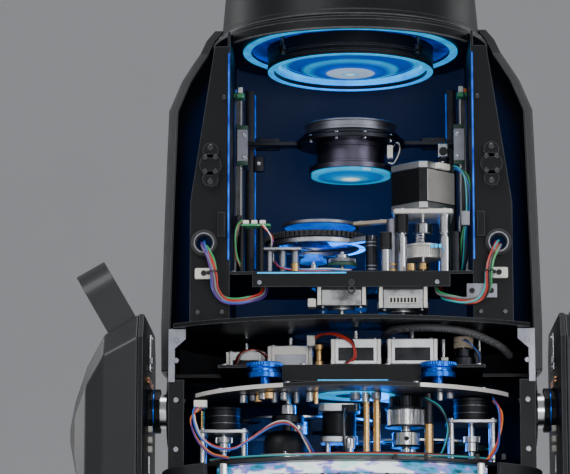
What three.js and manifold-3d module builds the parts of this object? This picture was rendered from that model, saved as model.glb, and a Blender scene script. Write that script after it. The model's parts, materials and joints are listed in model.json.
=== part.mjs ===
// Moving head beam light, shown with the front cover of its head taken off.
// Millimetres, +Z up, front towards -Y. The origin is on the floor, under the pan axis.

import * as THREE from 'three';
import { mergeVertices } from 'three/addons/utils/BufferGeometryUtils.js';
import Module from 'manifold-3d';

const wasm = await Module();
wasm.setup();

const fullTurn = Math.PI * 2;
const quarterTurn = Math.PI / 2;
const sides = { fine: 28, medium: 14, small: 8 };

// Clearances
const seat = 0.3;
const running = 0.5;
const overrun = 1;
const weld = 1e-4;

// Height of the tilt axis above the floor
const tiltHeight = 405;
// The head's half width, how far back it reaches and where its upper part ends below the tilt axis
const head = { halfWidth: 162, back: 148, low: -54.7 };

const base = {
  width: 420,
  depth: 330,
  corner: 55,
  top: 105,
  shoulder: 78,
  inset: 22,
  wall: 3,
  plate: 3,
  footHeight: 10,
  footRadius: 16,
  footInset: 52,
  footSoleShare: 0.8,
  footBevelShare: 0.3,
};

// Pads under the base for the brackets of a truss clamp
const pad = { width: 110, depth: 36, drop: 2, fromMiddle: 90, hole: 5, holeApart: 80 };

const panel = { width: 168, height: 46, depth: 15, rim: 3, floor: 4, middle: 47, fromFace: 0.8 };
const screen = { fromLeft: 13, fromRight: 77, height: 34, lip: 0.8 };
const dial = { radius: 12, long: 8, shaft: 3, fromRight: 22, tipShare: 0.9, bevelShare: 0.8 };
const backButton = { radius: 5.5, proud: 4, collar: 7.5, collarThick: 2, fromRight: 50 };

const socketPanel = { width: 190, height: 52, thick: 18, middle: 47, fromFace: 0.8 };
const inlet = { width: 27, height: 20, deep: 13, fromRight: 29 };
const dataSocket = { radius: 9.5, deep: 11, apart: 40, fromLeft: 33, rim: 3, rimProud: 0.4 };

const supply = { width: 96, depth: 190, height: 52, fromSide: 24, slots: 6, slot: 5, slotDeep: 3 };

const panTube = { bore: 28, radius: 34, flangeRadius: 52, flange: 2.7, tail: 58 };
const panPulley = { radius: 60, width: 9, lip: 2, low: 72 };
const panMotor = { size: 57, height: 50, pinion: 10, x: 126 };
const belt = { thick: 1.6, width: 7 };

const beam = {
  top: 180,
  beyond: 31,
  halfDepth: 58,
  keelInset: 42,
  keelRise: 26,
  crown: 8,
  corner: 14,
  wall: 6,
};
const arm = { clear: 10.5, plate: 4, overMotor: 25.5, top: 479, halfDepth: 80, wall: 3 };
// Each row: how far out, heights of foot, knee, shoulder and crown, half depths of foot, middle and crown
const armShares = [
  [0, 0, 0.16, 0.93, 1, 0.72, 1, 0.84],
  [0.48, 0.03, 0.18, 0.88, 0.944, 0.64, 0.95, 0.8],
  [0.73, 0.23, 0.36, 0.8, 0.86, 0.5, 0.82, 0.66],
  [0.91, 0.57, 0.62, 0.72, 0.77, 0.4, 0.6, 0.45],
  [1, 0.645, 0.66, 0.69, 0.71, 0.2, 0.3, 0.2],
];
const handle = { width: 27, rise: 50, halfSpan: 52, thick: 6, foot: 4, corner: 16, lip: 2.5, lipWidth: 4 };
const handleBendShare = 0.33;

const trunnion = { flange: 32, flangeThick: 4, hub: 14.5, collar: 19, collarThick: 9.7, shaft: 12, tip: 6 };
const tiltPulley = { radius: 34, gap: 2.7, width: 8 };
const tiltMotor = { size: 42.3, gap: 3, long: 21, pinion: 8, drop: 140, pillar: 3, pillarInset: 4.2 };

const armInner = head.halfWidth + arm.clear;
const armInnerFace = armInner + arm.plate + seat;
const armLow = beam.top + seat;
const pulleyInner = armInnerFace + tiltPulley.gap;
const pulleyOuter = pulleyInner + tiltPulley.width;
const tiltMotorInner = pulleyOuter + tiltMotor.gap;
const tiltMotorOuter = tiltMotorInner + tiltMotor.long;
const armOuter = tiltMotorOuter + arm.overMotor;

const sidePlate = {
  inset: 10,
  thick: 3,
  front: 62,
  back: 40,
  flangeWidth: 13,
  flangeTop: 19,
  top: 61.7,
};
const sidePlateOuter = head.halfWidth - sidePlate.inset;
const frame = {
  inner: 101,
  thick: 2,
  front: 78,
  back: 60,
  flange: 33,
  flangeTop: 13,
  waist: 166,
  top: 299.7,
  webTop: 312.7,
};
const star = { radius: 9, height: 24, thick: 4, endShare: 0.7, fromFrame: 16, rise: 197 };
const grommet = { radius: 10, bore: 6.5, thick: 3, fromFrame: 21, rise: 131 };
const rail = { depth: 7.7, width: 9, high: 270 };

const cover = {
  top: 330,
  rim: 10,
  rimThick: 7,
  rimDepth: 8,
  wall: 3,
  points: 12,
  roundness: 2.6,
};
const notch = { back: 42, top: 33 };
// Each row: height, half width and depth of the rear cover
const coverShares = [
  [0, 0.988, 1],
  [0.327, 1, 1],
  [0.815, 0.966, 0.98],
  [0.948, 0.8, 0.88],
  [0.977, 0.768, 0.845],
  [1, 0.722, 0.79],
];

const topPlate = { radius: 119, thick: 3, hole: 86, lip: 8 };
const hood = {
  high: 56.7,
  radius: 112,
  lip: 114,
  lipHigh: 7.7,
  throat: 104,
  wall: 4,
  floor: 14.7,
  floorThick: 6,
};
const barrel = { radius: 71.5, wall: 5, drop: 21.3, ledgeDrop: 8, ledgeWidth: 2.5 };
const frontLens = { crown: 9, edge: 6, rim: 4 };
const hoodLow = frame.webTop + seat + topPlate.thick + seat;

const shelf = { front: 121, ends: 70, inset: 14, thick: 3.5, low: 62, hole: 52 };
const upperTray = { top: 107.5, thick: 2.5, front: 80, back: 60, flangeHalf: 82, flangeDrop: 13, hole: 34 };
const lowerTray = {
  top: 29,
  thick: 2.5,
  half: 110,
  front: 84,
  back: 66,
  flangeHalf: 57,
  flangeDrop: 13.5,
  ear: 20,
  hole: 30,
};
const roundPlate = { inset: 20, thick: 4, top: 8.5, hole: 36, ear: 22 };
const bottomPlate = { inset: 21, thick: 3.5, hole: 40, ear: 22 };
const post = { radius: 3.6 };
const postShares = [[0.085, -0.652], [0.447, -0.652], [-0.9, -0.08], [0, 0.936]];
const wheelPost = { radius: 8, pin: 4 };

const motor = { size: 42.3, cap: 6, step: 0.5, boss: 11, bossHigh: 1.6, shaft: 2.5, shaftLong: 8 };
const motorCornerShare = 0.12;
const plug = { width: 16, deep: 5, high: 7 };
const rowMotors = [
  { name: 'row_motor_1', size: 35.2, x: -90, y: 14 },
  { name: 'row_motor_2', size: 39, x: -51.5, y: -20 },
  { name: 'row_motor_3', size: 42.3, x: 3.7, y: -60 },
  { name: 'row_motor_4', size: 42.3, x: 50.3, y: -60 },
];
const rowMotorHigh = 21.7;
const hangingMotors = [
  { name: 'left_tray_motor', x: -8, y: -54, high: 25.5 },
  { name: 'right_tray_motor', x: 43, y: -54, high: 28 },
];
const zoomMotor = { x: 60.5, y: -48, low: 161.3, high: 40.5, plate: 4, half: 25, pillar: 4.5, pillarInset: 7 };
const drumMotors = [
  { name: 'left_drum_motor', side: -1, inset: 43, y: -56, radius: 14, high: 20, low: -23.5 },
  { name: 'right_drum_motor', side: 1, inset: 50, y: -56, radius: 15, high: 19, low: -15.5 },
];
const drumPlate = { half: 21, thick: 3, leg: 2.2, legInset: 4 };

const knob = {
  x: 71,
  y: -99,
  radius: 14.7,
  waist: 9,
  flange: 3,
  low: 15.2,
  high: 28.4,
  stem: 4,
  bore: 2.2,
  boreDeep: 6,
};

const zoom = {
  ring: 47,
  ringLow: 229,
  ringThick: 4,
  tube: 30,
  tubeWall: 3,
  low: 205,
  high: 247,
  crown: 40,
  crownThick: 9.5,
};
const zoomSeat = { radius: 36, high: 5, wall: 1.6 };
const zoomArm = { width: 14, blockIn: 88.5, blockOut: 97.5, halfWidth: 12, low: 211, high: 246 };
const zoomLens = { crown: 5, edge: 2.5, rim: 7.6 };

const prism = {
  x: -29,
  y: -18,
  pivotX: 17,
  pivotY: -60,
  radius: 45.5,
  root: 43.5,
  bore: 34,
  low: 141,
  thick: 5,
  teeth: 40,
};
const prismArm = { outer: 42, inner: 36, low: 136.2, thick: 4.5, bar: 10, hub: 5 };
const frost = {
  x: -26,
  y: -30,
  pivotX: 35,
  pivotY: -56.6,
  radius: 33,
  rim: 3,
  low: 152,
  thick: 3,
  web: 1,
  bar: 9,
  hub: 5.5,
};

const goboWheel = {
  radius: 72,
  reach: 58,
  low: -9.5,
  thick: 2,
  window: 12,
  hub: 12,
  hubDeep: 8,
  count: 7,
  angle: 2.5,
};
const colourWheel = {
  radius: 76,
  reach: 61,
  low: -29.5,
  thick: 2,
  window: 13,
  hub: 12,
  hubDeep: 8,
  count: 8,
  angle: 0.61,
};

const tail = {
  high: 135,
  wall: 3,
  points: 24,
  roundness: 2.6,
  floorHole: 58,
  bar: 8,
  // Opening at the top of its front, where the front cover would close it
  mouthHalf: 118,
  mouthHigh: 22,
};
const vent = { high: 8, apart: 20, count: 4, halfWidth: 52, foot: 40 };
// Each row: height, half width and depth of the lamp house
const tailShares = [
  [0, 0.65, 0.662],
  [0.163, 0.825, 0.81],
  [0.74, 0.988, 0.986],
  [1, 1, 1],
];
const reflector = { mouth: 62, neck: 14, high: 87, wall: 2.5, steps: 8, flange: 68, flangeThick: 3 };
const lamp = { bulb: 8, bulbLong: 40, stem: 4, stemLong: 24, socket: 18, socketHigh: 17 };
const fan = { radius: 54, hub: 20, foot: 7, high: 15, blade: 2.4, axle: 3, blades: 7, twist: 0.7 };

const loom = { radius: 4, sides: 8, steps: 26 };
// Route of a wire loom from a side frame's grommet to the upper tray, as x, y and height above the tilt axis
const loomRoute = [
  [122, -73, 131],
  [122, -84, 131],
  [120, -93, 126],
  [115.5, -98, 116],
  [113, -99, 103],
  [112, -98, 91],
  [106, -96, 82],
  [95, -94, 80],
  [83, -90, 82],
  [76, -83, 85],
  [73, -76, 88],
  [72, -69, 95],
  [72, -68, 104.4],
];

const finish = {
  powder: new THREE.MeshStandardMaterial({ color: 0x17181a, roughness: 0.62, metalness: 0.3 }),
  shell: new THREE.MeshStandardMaterial({ color: 0x2b2d30, roughness: 0.45, metalness: 0.1 }),
  sheet: new THREE.MeshStandardMaterial({ color: 0x8d9196, roughness: 0.35, metalness: 0.9 }),
  bright: new THREE.MeshStandardMaterial({ color: 0xc9ccd0, roughness: 0.18, metalness: 1 }),
  motor: new THREE.MeshStandardMaterial({ color: 0x4a4d50, roughness: 0.4, metalness: 0.8 }),
  blue: new THREE.MeshStandardMaterial({ color: 0x1747c2, roughness: 0.3, metalness: 0.9 }),
  glass: new THREE.MeshStandardMaterial({ color: 0x9fdcf5, roughness: 0.05, metalness: 0 }),
  rubber: new THREE.MeshStandardMaterial({ color: 0x101010, roughness: 0.9, metalness: 0 }),
  wire: new THREE.MeshStandardMaterial({ color: 0x8a2a20, roughness: 0.5, metalness: 0 }),
  ring: new THREE.MeshStandardMaterial({ color: 0x202224, roughness: 0.4, metalness: 0.6 }),
};

// Merges shared corners, drops faces without area and turns the faces outwards.
function welded(geometry) {
  const bare = geometry.clone();
  const extras = Object.keys(bare.attributes).filter((name) => name !== 'position');
  extras.forEach((name) => bare.deleteAttribute(name));
  const merged = mergeVertices(bare, weld);
  const at = merged.index.array;
  const point = merged.attributes.position;
  const kept = [];
  const [a, b, c] = [new THREE.Vector3(), new THREE.Vector3(), new THREE.Vector3()];
  let volume = 0;
  for (let i = 0; i < at.length; i += 3) {
    if (at[i] === at[i + 1] || at[i + 1] === at[i + 2] || at[i + 2] === at[i]) continue;
    kept.push([at[i], at[i + 1], at[i + 2]]);
    a.fromBufferAttribute(point, at[i]);
    b.fromBufferAttribute(point, at[i + 1]);
    c.fromBufferAttribute(point, at[i + 2]);
    volume += a.dot(b.cross(c));
  }
  const faces = volume < 0 ? kept.map((face) => [...face].reverse()) : kept;
  merged.setIndex(faces.flat());
  return merged;
}

function solidOf(shape) {
  if (!shape.isBufferGeometry) return shape;
  const closed = welded(shape);
  const vertProperties = new Float32Array(closed.attributes.position.array);
  const triVerts = new Uint32Array(closed.index.array);
  return new wasm.Manifold(new wasm.Mesh({ numProp: 3, vertProperties, triVerts }));
}

function join(...shapes) {
  return shapes.flat().map(solidOf).reduce((whole, next) => whole.add(next));
}

function cut(body, ...tools) {
  return tools.flat().map(solidOf).reduce((whole, tool) => whole.subtract(tool), solidOf(body));
}

function common(a, b) {
  return solidOf(a).intersect(solidOf(b));
}

function geometryOf(shape) {
  if (shape.isBufferGeometry) return welded(shape);
  const { vertProperties, triVerts } = shape.getMesh();
  const geometry = new THREE.BufferGeometry();
  geometry.setAttribute('position', new THREE.BufferAttribute(vertProperties, 3));
  geometry.setIndex(new THREE.BufferAttribute(triVerts, 1));
  return welded(geometry);
}

function piece(name, shape, material) {
  const mesh = new THREE.Mesh(geometryOf(shape), material);
  mesh.name = name;
  return mesh;
}

function block(x, y, z) {
  const size = [x, y, z].map(([low, high]) => Math.abs(high - low));
  const middle = [x, y, z].map(([low, high]) => (low + high) / 2);
  return new THREE.BoxGeometry(...size).translate(...middle);
}

// A body turned about the Z axis from a profile of [radius, height] points.
function turned(profile, count = sides.medium) {
  const points = profile.map(([radius, height]) => new THREE.Vector2(radius, height));
  return new THREE.LatheGeometry(points, count).rotateX(quarterTurn);
}

function rod(radius, [low, high], x = 0, y = 0, count = sides.small) {
  return turned([[0, low], [radius, low], [radius, high], [0, high]], count).translate(x, y, 0);
}

function tube(outer, inner, [low, high], count = sides.medium) {
  return turned([[inner, low], [outer, low], [outer, high], [inner, high], [inner, low]], count);
}

// Turns a shape built along Z so that it lies along X.
function alongX(geometry) {
  return geometry.rotateY(quarterTurn);
}

function slab(outline, [low, high], holes = [], count = sides.medium) {
  const shape = new THREE.Shape(outline.map(([x, y]) => new THREE.Vector2(x, y)));
  holes.forEach(([x, y, radius]) => {
    const hole = new THREE.Path();
    hole.absarc(x, y, radius, 0, fullTurn, true);
    shape.holes.push(hole);
  });
  const options = { depth: high - low, bevelEnabled: false, curveSegments: count / 2 };
  return new THREE.ExtrudeGeometry(shape, options).translate(0, 0, low);
}

function circle(radius, count = sides.fine) {
  const turn = (i) => (i / count) * fullTurn;
  return Array.from({ length: count }, (_, i) => [radius * Math.cos(turn(i)), radius * Math.sin(turn(i))]);
}

// A rectangle with cut corners.
function eight(halfWidth, halfDepth, corner) {
  return [
    [halfWidth - corner, -halfDepth],
    [halfWidth, corner - halfDepth],
    [halfWidth, halfDepth - corner],
    [halfWidth - corner, halfDepth],
    [corner - halfWidth, halfDepth],
    [-halfWidth, halfDepth - corner],
    [-halfWidth, corner - halfDepth],
    [corner - halfWidth, -halfDepth],
  ];
}

// A closed solid through outlines of equal length; across names the two axes that the end caps lie in.
function loft(sections, across = [0, 1]) {
  const count = sections[0].length;
  const faces = [];
  for (let s = 0; s + 1 < sections.length; s += 1) {
    for (let i = 0; i < count; i += 1) {
      const [a, b] = [s * count + i, s * count + ((i + 1) % count)];
      faces.push([a, b, b + count], [a, b + count, a + count]);
    }
  }
  const cap = (section, start, up) => {
    const flat = section.map((p) => new THREE.Vector2(p[across[0]], p[across[1]]));
    const sign = Math.sign(THREE.ShapeUtils.area(flat));
    THREE.ShapeUtils.triangulateShape(flat, []).forEach(([i, j, k]) => {
      const same = Math.sign(THREE.ShapeUtils.area([flat[i], flat[j], flat[k]])) === sign;
      const [p, q] = same === up ? [j, k] : [k, j];
      faces.push([start + i, start + p, start + q]);
    });
  };
  cap(sections[0], 0, false);
  cap(sections.at(-1), (sections.length - 1) * count, true);
  const geometry = new THREE.BufferGeometry();
  geometry.setAttribute('position', new THREE.Float32BufferAttribute(sections.flat(2), 3));
  geometry.setIndex(faces.flat());
  return geometry;
}

function level(outline, z) {
  return outline.map(([x, y]) => [x, y, z]);
}

// The loop that a belt makes round two pulleys, the second one a distance away along +Y.
function beltOutline(radius, farRadius, distance) {
  const lean = Math.acos((radius - farRadius) / distance);
  const arc = (r, from, to, y, count) => Array.from({ length: count }, (_, i) => {
    const angle = quarterTurn + from + ((to - from) * i) / (count - 1);
    return [r * Math.cos(angle), y + r * Math.sin(angle)];
  });
  return [
    ...arc(radius, lean, fullTurn - lean, 0, sides.fine),
    ...arc(farRadius, -lean, lean, distance, sides.small),
  ];
}

function beltLoop(radius, farRadius, distance, z) {
  const outer = beltOutline(radius + seat + belt.thick, farRadius + seat + belt.thick, distance);
  const inner = beltOutline(radius + seat, farRadius + seat, distance);
  return cut(slab(outer, z), slab(inner, [z[0] - overrun, z[1] + overrun]));
}

// Stepper motor body between two heights, its shaft on the side that facing says.
function stepper(size, [low, high], facing, shaftLong = motor.shaftLong) {
  const outline = (inset, z) => {
    const half = size / 2 - inset;
    return level(eight(half, half, size * motorCornerShare), z);
  };
  const rows = [
    outline(0, low),
    outline(0, low + motor.cap),
    outline(motor.step, low + motor.cap),
    outline(motor.step, high - motor.cap),
    outline(0, high - motor.cap),
    outline(0, high),
  ];
  const face = facing > 0 ? high : low;
  const inside = face - facing * motor.cap;
  return join(
    loft(rows),
    rod(motor.boss, [inside, face + facing * motor.bossHigh], 0, 0, sides.medium),
    rod(motor.shaft, [inside, face + facing * shaftLong]),
  );
}

function motorPlug(size, z) {
  const half = size / 2;
  return block([-plug.width / 2, plug.width / 2], [-half - plug.deep, overrun - half], [z, z + plug.high]);
}

const baseFloor = base.footHeight + base.plate + seat;

function baseHousing() {
  const [halfWidth, halfDepth] = [base.width / 2, base.depth / 2];
  const row = (inset, grow, z) => {
    const less = inset + grow;
    return level(eight(halfWidth - less, halfDepth - less, base.corner), z);
  };
  const low = baseFloor;
  const socketHalf = socketPanel.height / 2;
  const shell = loft([row(0, 0, low), row(0, 0, base.shoulder), row(base.inset, 0, base.top)]);
  const hollow = loft([
    row(0, base.wall, low - overrun),
    row(0, base.wall, base.shoulder),
    row(base.inset, base.wall, base.top - base.wall),
  ]);
  const windows = [
    block(
      [-panel.width / 2 - seat, panel.width / 2 + seat],
      [-base.depth / 2 - overrun, base.wall * 2 - base.depth / 2],
      [panel.middle - panel.height / 2 - seat, panel.middle + panel.height / 2 + seat],
    ),
    block(
      [-socketPanel.width / 2 - seat, socketPanel.width / 2 + seat],
      [base.depth / 2 - base.wall * 2, base.depth / 2 + overrun],
      [socketPanel.middle - socketHalf - seat, socketPanel.middle + socketHalf + seat],
    ),
  ];
  const neck = rod(panTube.radius + running, [base.shoulder, base.top + overrun], 0, 0, sides.fine);
  return cut(shell, hollow, windows, neck);
}

function basePlate() {
  const outline = eight(base.width / 2, base.depth / 2, base.corner);
  const top = base.footHeight + base.plate;
  const low = base.footHeight - pad.drop;
  const pads = [-1, 1].map((side) => block(
    [-pad.width / 2, pad.width / 2],
    [side * pad.fromMiddle - pad.depth / 2, side * pad.fromMiddle + pad.depth / 2],
    [low, base.footHeight + base.plate / 2],
  ));
  const holes = [-1, 1].flatMap((side) => [-1, 1].map((hand) => (
    rod(pad.hole, [low - overrun, top + overrun], (hand * pad.holeApart) / 2, side * pad.fromMiddle)
  )));
  return cut(join(slab(outline, [base.footHeight, top]), pads), holes);
}

function foot() {
  const top = base.footHeight - seat;
  const { footRadius: radius, footSoleShare, footBevelShare } = base;
  const bevel = top * footBevelShare;
  return turned([[0, 0], [radius * footSoleShare, 0], [radius, bevel], [radius, top], [0, top]]);
}

// Places along the display panel, measured from its right end.
const dialX = panel.width / 2 - dial.fromRight;
const backButtonX = panel.width / 2 - backButton.fromRight;

function displayPanel() {
  const front = panel.fromFace - base.depth / 2;
  const floorFront = front + panel.depth - panel.floor;
  const [halfWidth, halfHeight] = [panel.width / 2, panel.height / 2];
  const z = [panel.middle - halfHeight, panel.middle + halfHeight];
  const tray = block([-halfWidth, halfWidth], [front, front + panel.depth], z);
  const pocket = block(
    [panel.rim - halfWidth, halfWidth - panel.rim],
    [front - overrun, floorFront],
    [z[0] + panel.rim, z[1] - panel.rim],
  );
  const glass = block(
    [screen.fromLeft - halfWidth, halfWidth - screen.fromRight],
    [floorFront - screen.lip, floorFront + overrun],
    [panel.middle - screen.height / 2, panel.middle + screen.height / 2],
  );
  const bore = (x, radius) => rod(radius + running, [-overrun, panel.depth], 0, 0)
    .rotateX(-quarterTurn)
    .translate(x, front, panel.middle);
  return cut(join(cut(tray, pocket), glass), bore(dialX, dial.shaft), bore(backButtonX, backButton.radius));
}

// Turns a shape built along Z so that its foot end looks forwards, and seats it on the panel's floor.
function onPanel(geometry, x) {
  const floorFront = panel.fromFace - base.depth / 2 + panel.depth - panel.floor;
  return geometry.rotateX(-quarterTurn).translate(x, floorFront, panel.middle);
}

// Turning knob of the menu, its shaft through the panel's floor.
function menuDial() {
  const tip = panel.floor + overrun;
  return onPanel(turned([
    [0, -dial.long],
    [dial.radius * dial.tipShare, -dial.long],
    [dial.radius, -dial.long * dial.bevelShare],
    [dial.radius, -seat],
    [dial.shaft, -seat],
    [dial.shaft, tip],
    [0, tip],
  ]), dialX);
}

function backKey() {
  const behind = panel.floor + seat;
  return onPanel(turned([
    [0, -backButton.proud],
    [backButton.radius, -backButton.proud],
    [backButton.radius, behind],
    [backButton.collar, behind],
    [backButton.collar, behind + backButton.collarThick],
    [0, behind + backButton.collarThick],
  ]), backButtonX);
}

function connectorPanel() {
  const back = base.depth / 2 - socketPanel.fromFace;
  const z = [socketPanel.middle - socketPanel.height / 2, socketPanel.middle + socketPanel.height / 2];
  const body = block([-socketPanel.width / 2, socketPanel.width / 2], [back - socketPanel.thick, back], z);
  const inletX = socketPanel.width / 2 - inlet.fromRight;
  const mains = block(
    [inletX - inlet.width / 2, inletX + inlet.width / 2],
    [back - inlet.deep, back + overrun],
    [socketPanel.middle - inlet.height / 2, socketPanel.middle + inlet.height / 2],
  );
  const firstX = dataSocket.fromLeft - socketPanel.width / 2;
  const places = [firstX, firstX + dataSocket.apart];
  const sockets = places.map((x) => rod(dataSocket.radius, [-dataSocket.deep, overrun], 0, 0, sides.medium)
    .rotateX(-quarterTurn)
    .translate(x, back, socketPanel.middle));
  const rim = dataSocket.radius + dataSocket.rim;
  const rims = places.map((x) => tube(rim, dataSocket.radius, [-overrun, dataSocket.rimProud])
    .rotateX(-quarterTurn)
    .translate(x, back, socketPanel.middle));
  return cut(join(body, rims), mains, sockets);
}

function powerSupply() {
  const { width, depth, slot, slotDeep } = supply;
  const top = baseFloor + supply.height;
  const x = [supply.fromSide - base.width / 2, supply.fromSide + width - base.width / 2];
  const body = block(x, [-depth / 2, depth / 2], [baseFloor, top]);
  const step = depth / (supply.slots + 1);
  const slots = Array.from({ length: supply.slots }, (_, i) => {
    const y = step * (i + 1) - depth / 2;
    return block([x[0] + slot, x[1] - slot], [y - slot / 2, y + slot / 2], [top - slotDeep, top + overrun]);
  });
  return cut(body, slots);
}

const flangeLow = base.top + seat;
const beamLow = flangeLow + panTube.flange + seat;

function panTubeBody() {
  const { bore, radius, tail: low } = panTube;
  const { radius: rim, width, lip, low: foot } = panPulley;
  return turned([
    [bore, low],
    [radius, low],
    [radius, foot],
    [rim, foot],
    [rim, foot + width],
    [radius, foot + width],
    [radius, flangeLow],
    [panTube.flangeRadius, flangeLow],
    [panTube.flangeRadius, flangeLow + panTube.flange],
    [bore, flangeLow + panTube.flange],
    [bore, low],
  ], sides.fine);
}

// Stands on the base plate; its own origin is on its shaft's line.
function panMotorBody() {
  const low = baseFloor;
  const top = low + panMotor.height;
  const pinionTop = panPulley.low + panPulley.width;
  return join(
    stepper(panMotor.size, [low, top], 1, pinionTop - top),
    rod(panMotor.pinion, [panPulley.low, pinionTop], 0, 0, sides.medium),
  );
}

function panBelt() {
  const low = panPulley.low + (panPulley.width - belt.width) / 2;
  return beltLoop(panPulley.radius, panMotor.pinion, panMotor.x, [low, low + belt.width]);
}

// Outline of an arm at one row of shares, shrunk by a wall, as points with their distance out along X.
function armRing(row, side, wall) {
  const [out, foot, knee, shoulder, crown, halfFoot, halfMiddle, halfCrown] = row;
  const height = (share) => armLow + share * (arm.top - armLow);
  const rise = wall * (foot > 0 ? 1 : 0);
  const half = (share) => share * arm.halfDepth - wall;
  const x = side * (armInnerFace + out * (armOuter - armInnerFace - wall));
  return [
    [x, -half(halfFoot), height(foot) + rise],
    [x, half(halfFoot), height(foot) + rise],
    [x, half(halfMiddle), height(knee)],
    [x, half(halfMiddle), height(shoulder) - wall],
    [x, half(halfCrown), height(crown) - wall],
    [x, -half(halfCrown), height(crown) - wall],
    [x, -half(halfMiddle), height(shoulder) - wall],
    [x, -half(halfMiddle), height(knee)],
  ];
}

function armCover(side) {
  const outer = loft(armShares.map((row) => armRing(row, side, 0)), [1, 2]);
  const rings = armShares.map((row) => armRing(row, side, arm.wall));
  const mouth = rings[0].map(([x, y, z]) => [x - side * overrun, y, z]);
  return cut(outer, loft([mouth, ...rings], [1, 2]));
}

// Where the sloping top face of an arm lies: its middle, and how far it leans outwards.
function armCrown() {
  const [first, second] = armShares;
  const x = (share) => armInnerFace + share * (armOuter - armInnerFace);
  const z = (share) => armLow + share * (arm.top - armLow);
  const [dx, dz] = [x(second[0]) - x(first[0]), z(first[4]) - z(second[4])];
  return { x: x(first[0]) + dx / 2, z: z(first[4]) - dz / 2, lean: Math.atan2(dz, dx) };
}

function yokeFrame() {
  const row = (halfLength, halfDepth, z) => level(eight(halfLength, halfDepth, beam.corner), z);
  const beamHalf = armInner + beam.beyond;
  const keel = beamHalf - beam.keelInset;
  const outer = loft([
    row(keel, beam.halfDepth - beam.crown, beamLow),
    row(beamHalf, beam.halfDepth, beamLow + beam.keelRise),
    row(beamHalf, beam.halfDepth, beam.top - beam.crown),
    row(beamHalf, beam.halfDepth - beam.crown, beam.top),
  ]);
  const inner = loft([
    row(keel - beam.wall, beam.halfDepth - beam.crown - beam.wall, beamLow + beam.wall),
    row(beamHalf - beam.wall, beam.halfDepth - beam.wall, beamLow + beam.keelRise),
    row(beamHalf - beam.wall, beam.halfDepth - beam.wall, beam.top - beam.crown - beam.wall),
    row(beamHalf - beam.wall, beam.halfDepth - beam.crown - beam.wall, beam.top - beam.wall),
  ]);
  const hole = rod(panTube.bore, [beamLow - overrun, beamLow + beam.wall + overrun], 0, 0, sides.medium);
  const plates = [-1, 1].map((side) => {
    const ring = armRing(armShares[0], side, 0).map(([, y, z]) => [y, z]);
    const foot = ring.map(([y, z]) => [y, z === armLow ? beam.top - beam.wall / 2 : z]);
    const flat = (x) => foot.map(([y, z]) => [x, y, z]);
    const plate = loft([flat(side * armInner), flat(side * (armInner + arm.plate))], [1, 2]);
    const bore = alongX(rod(trunnion.shaft + running, [-overrun, arm.plate + overrun], 0, 0, sides.medium));
    return cut(plate, bore.translate(side > 0 ? armInner : -armInner - arm.plate, 0, tiltHeight));
  });
  return join(cut(outer, inner, hole), plates);
}

// Modelled upright at its own origin, on the middle of the arm's sloping top face.
function handleLoop() {
  const outline = (half, low, high, corner) => {
    const bend = corner * handleBendShare;
    return [
      [-half, low],
      [half, low],
      [half, high - corner],
      [half - bend, high - bend],
      [half - corner, high],
      [corner - half, high],
      [bend - half, high - bend],
      [-half, high - corner],
    ];
  };
  const band = (grow, low, x) => {
    const ring = (at) => outline(handle.halfSpan - grow, low, handle.rise - grow, handle.corner - grow / 2)
      .map(([y, z]) => [at, y, z]);
    return loft([ring(x[0]), ring(x[1])], [1, 2]);
  };
  const half = handle.width / 2;
  const inner = handle.thick + handle.lip;
  const strap = cut(
    band(0, seat, [-half, half]),
    band(inner, handle.foot + seat, [-half - overrun, half + overrun]),
  );
  const groove = cut(
    band(-overrun, -overrun, [handle.lipWidth - half, half - handle.lipWidth]),
    band(handle.lip, -overrun * 2, [-half, half]),
  );
  const reach = handle.halfSpan + overrun * 2;
  const above = block([-half, half], [-reach, reach], [handle.foot + seat, handle.rise * 2]);
  return cut(strap, common(groove, above));
}

// Rods at the four corners of a square plate.
function corners(radius, reach, ends) {
  return [[-1, -1], [1, -1], [1, 1], [-1, 1]].map(([x, y]) => rod(radius, ends, x * reach, y * reach));
}

function tiltMotorBody() {
  const shaftLong = tiltMotorInner - pulleyInner + seat;
  const body = stepper(tiltMotor.size, [tiltMotorInner, tiltMotorOuter], -1, shaftLong);
  const pinion = rod(tiltMotor.pinion, [pulleyInner, pulleyOuter], 0, 0, sides.medium);
  const reach = tiltMotor.size / 2 - tiltMotor.pillarInset;
  const pillars = corners(tiltMotor.pillar, reach, [armInnerFace, tiltMotorInner + motor.cap]);
  return alongX(geometryOf(join(body, pinion, pillars)));
}

function tiltBelt() {
  const loop = beltLoop(tiltPulley.radius, tiltMotor.pinion, tiltMotor.drop, [0, belt.width]);
  const inset = (tiltPulley.width - belt.width) / 2;
  return alongX(geometryOf(loop).rotateZ(Math.PI))
    .rotateX(quarterTurn)
    .translate(pulleyInner + inset, 0, 0);
}

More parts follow.
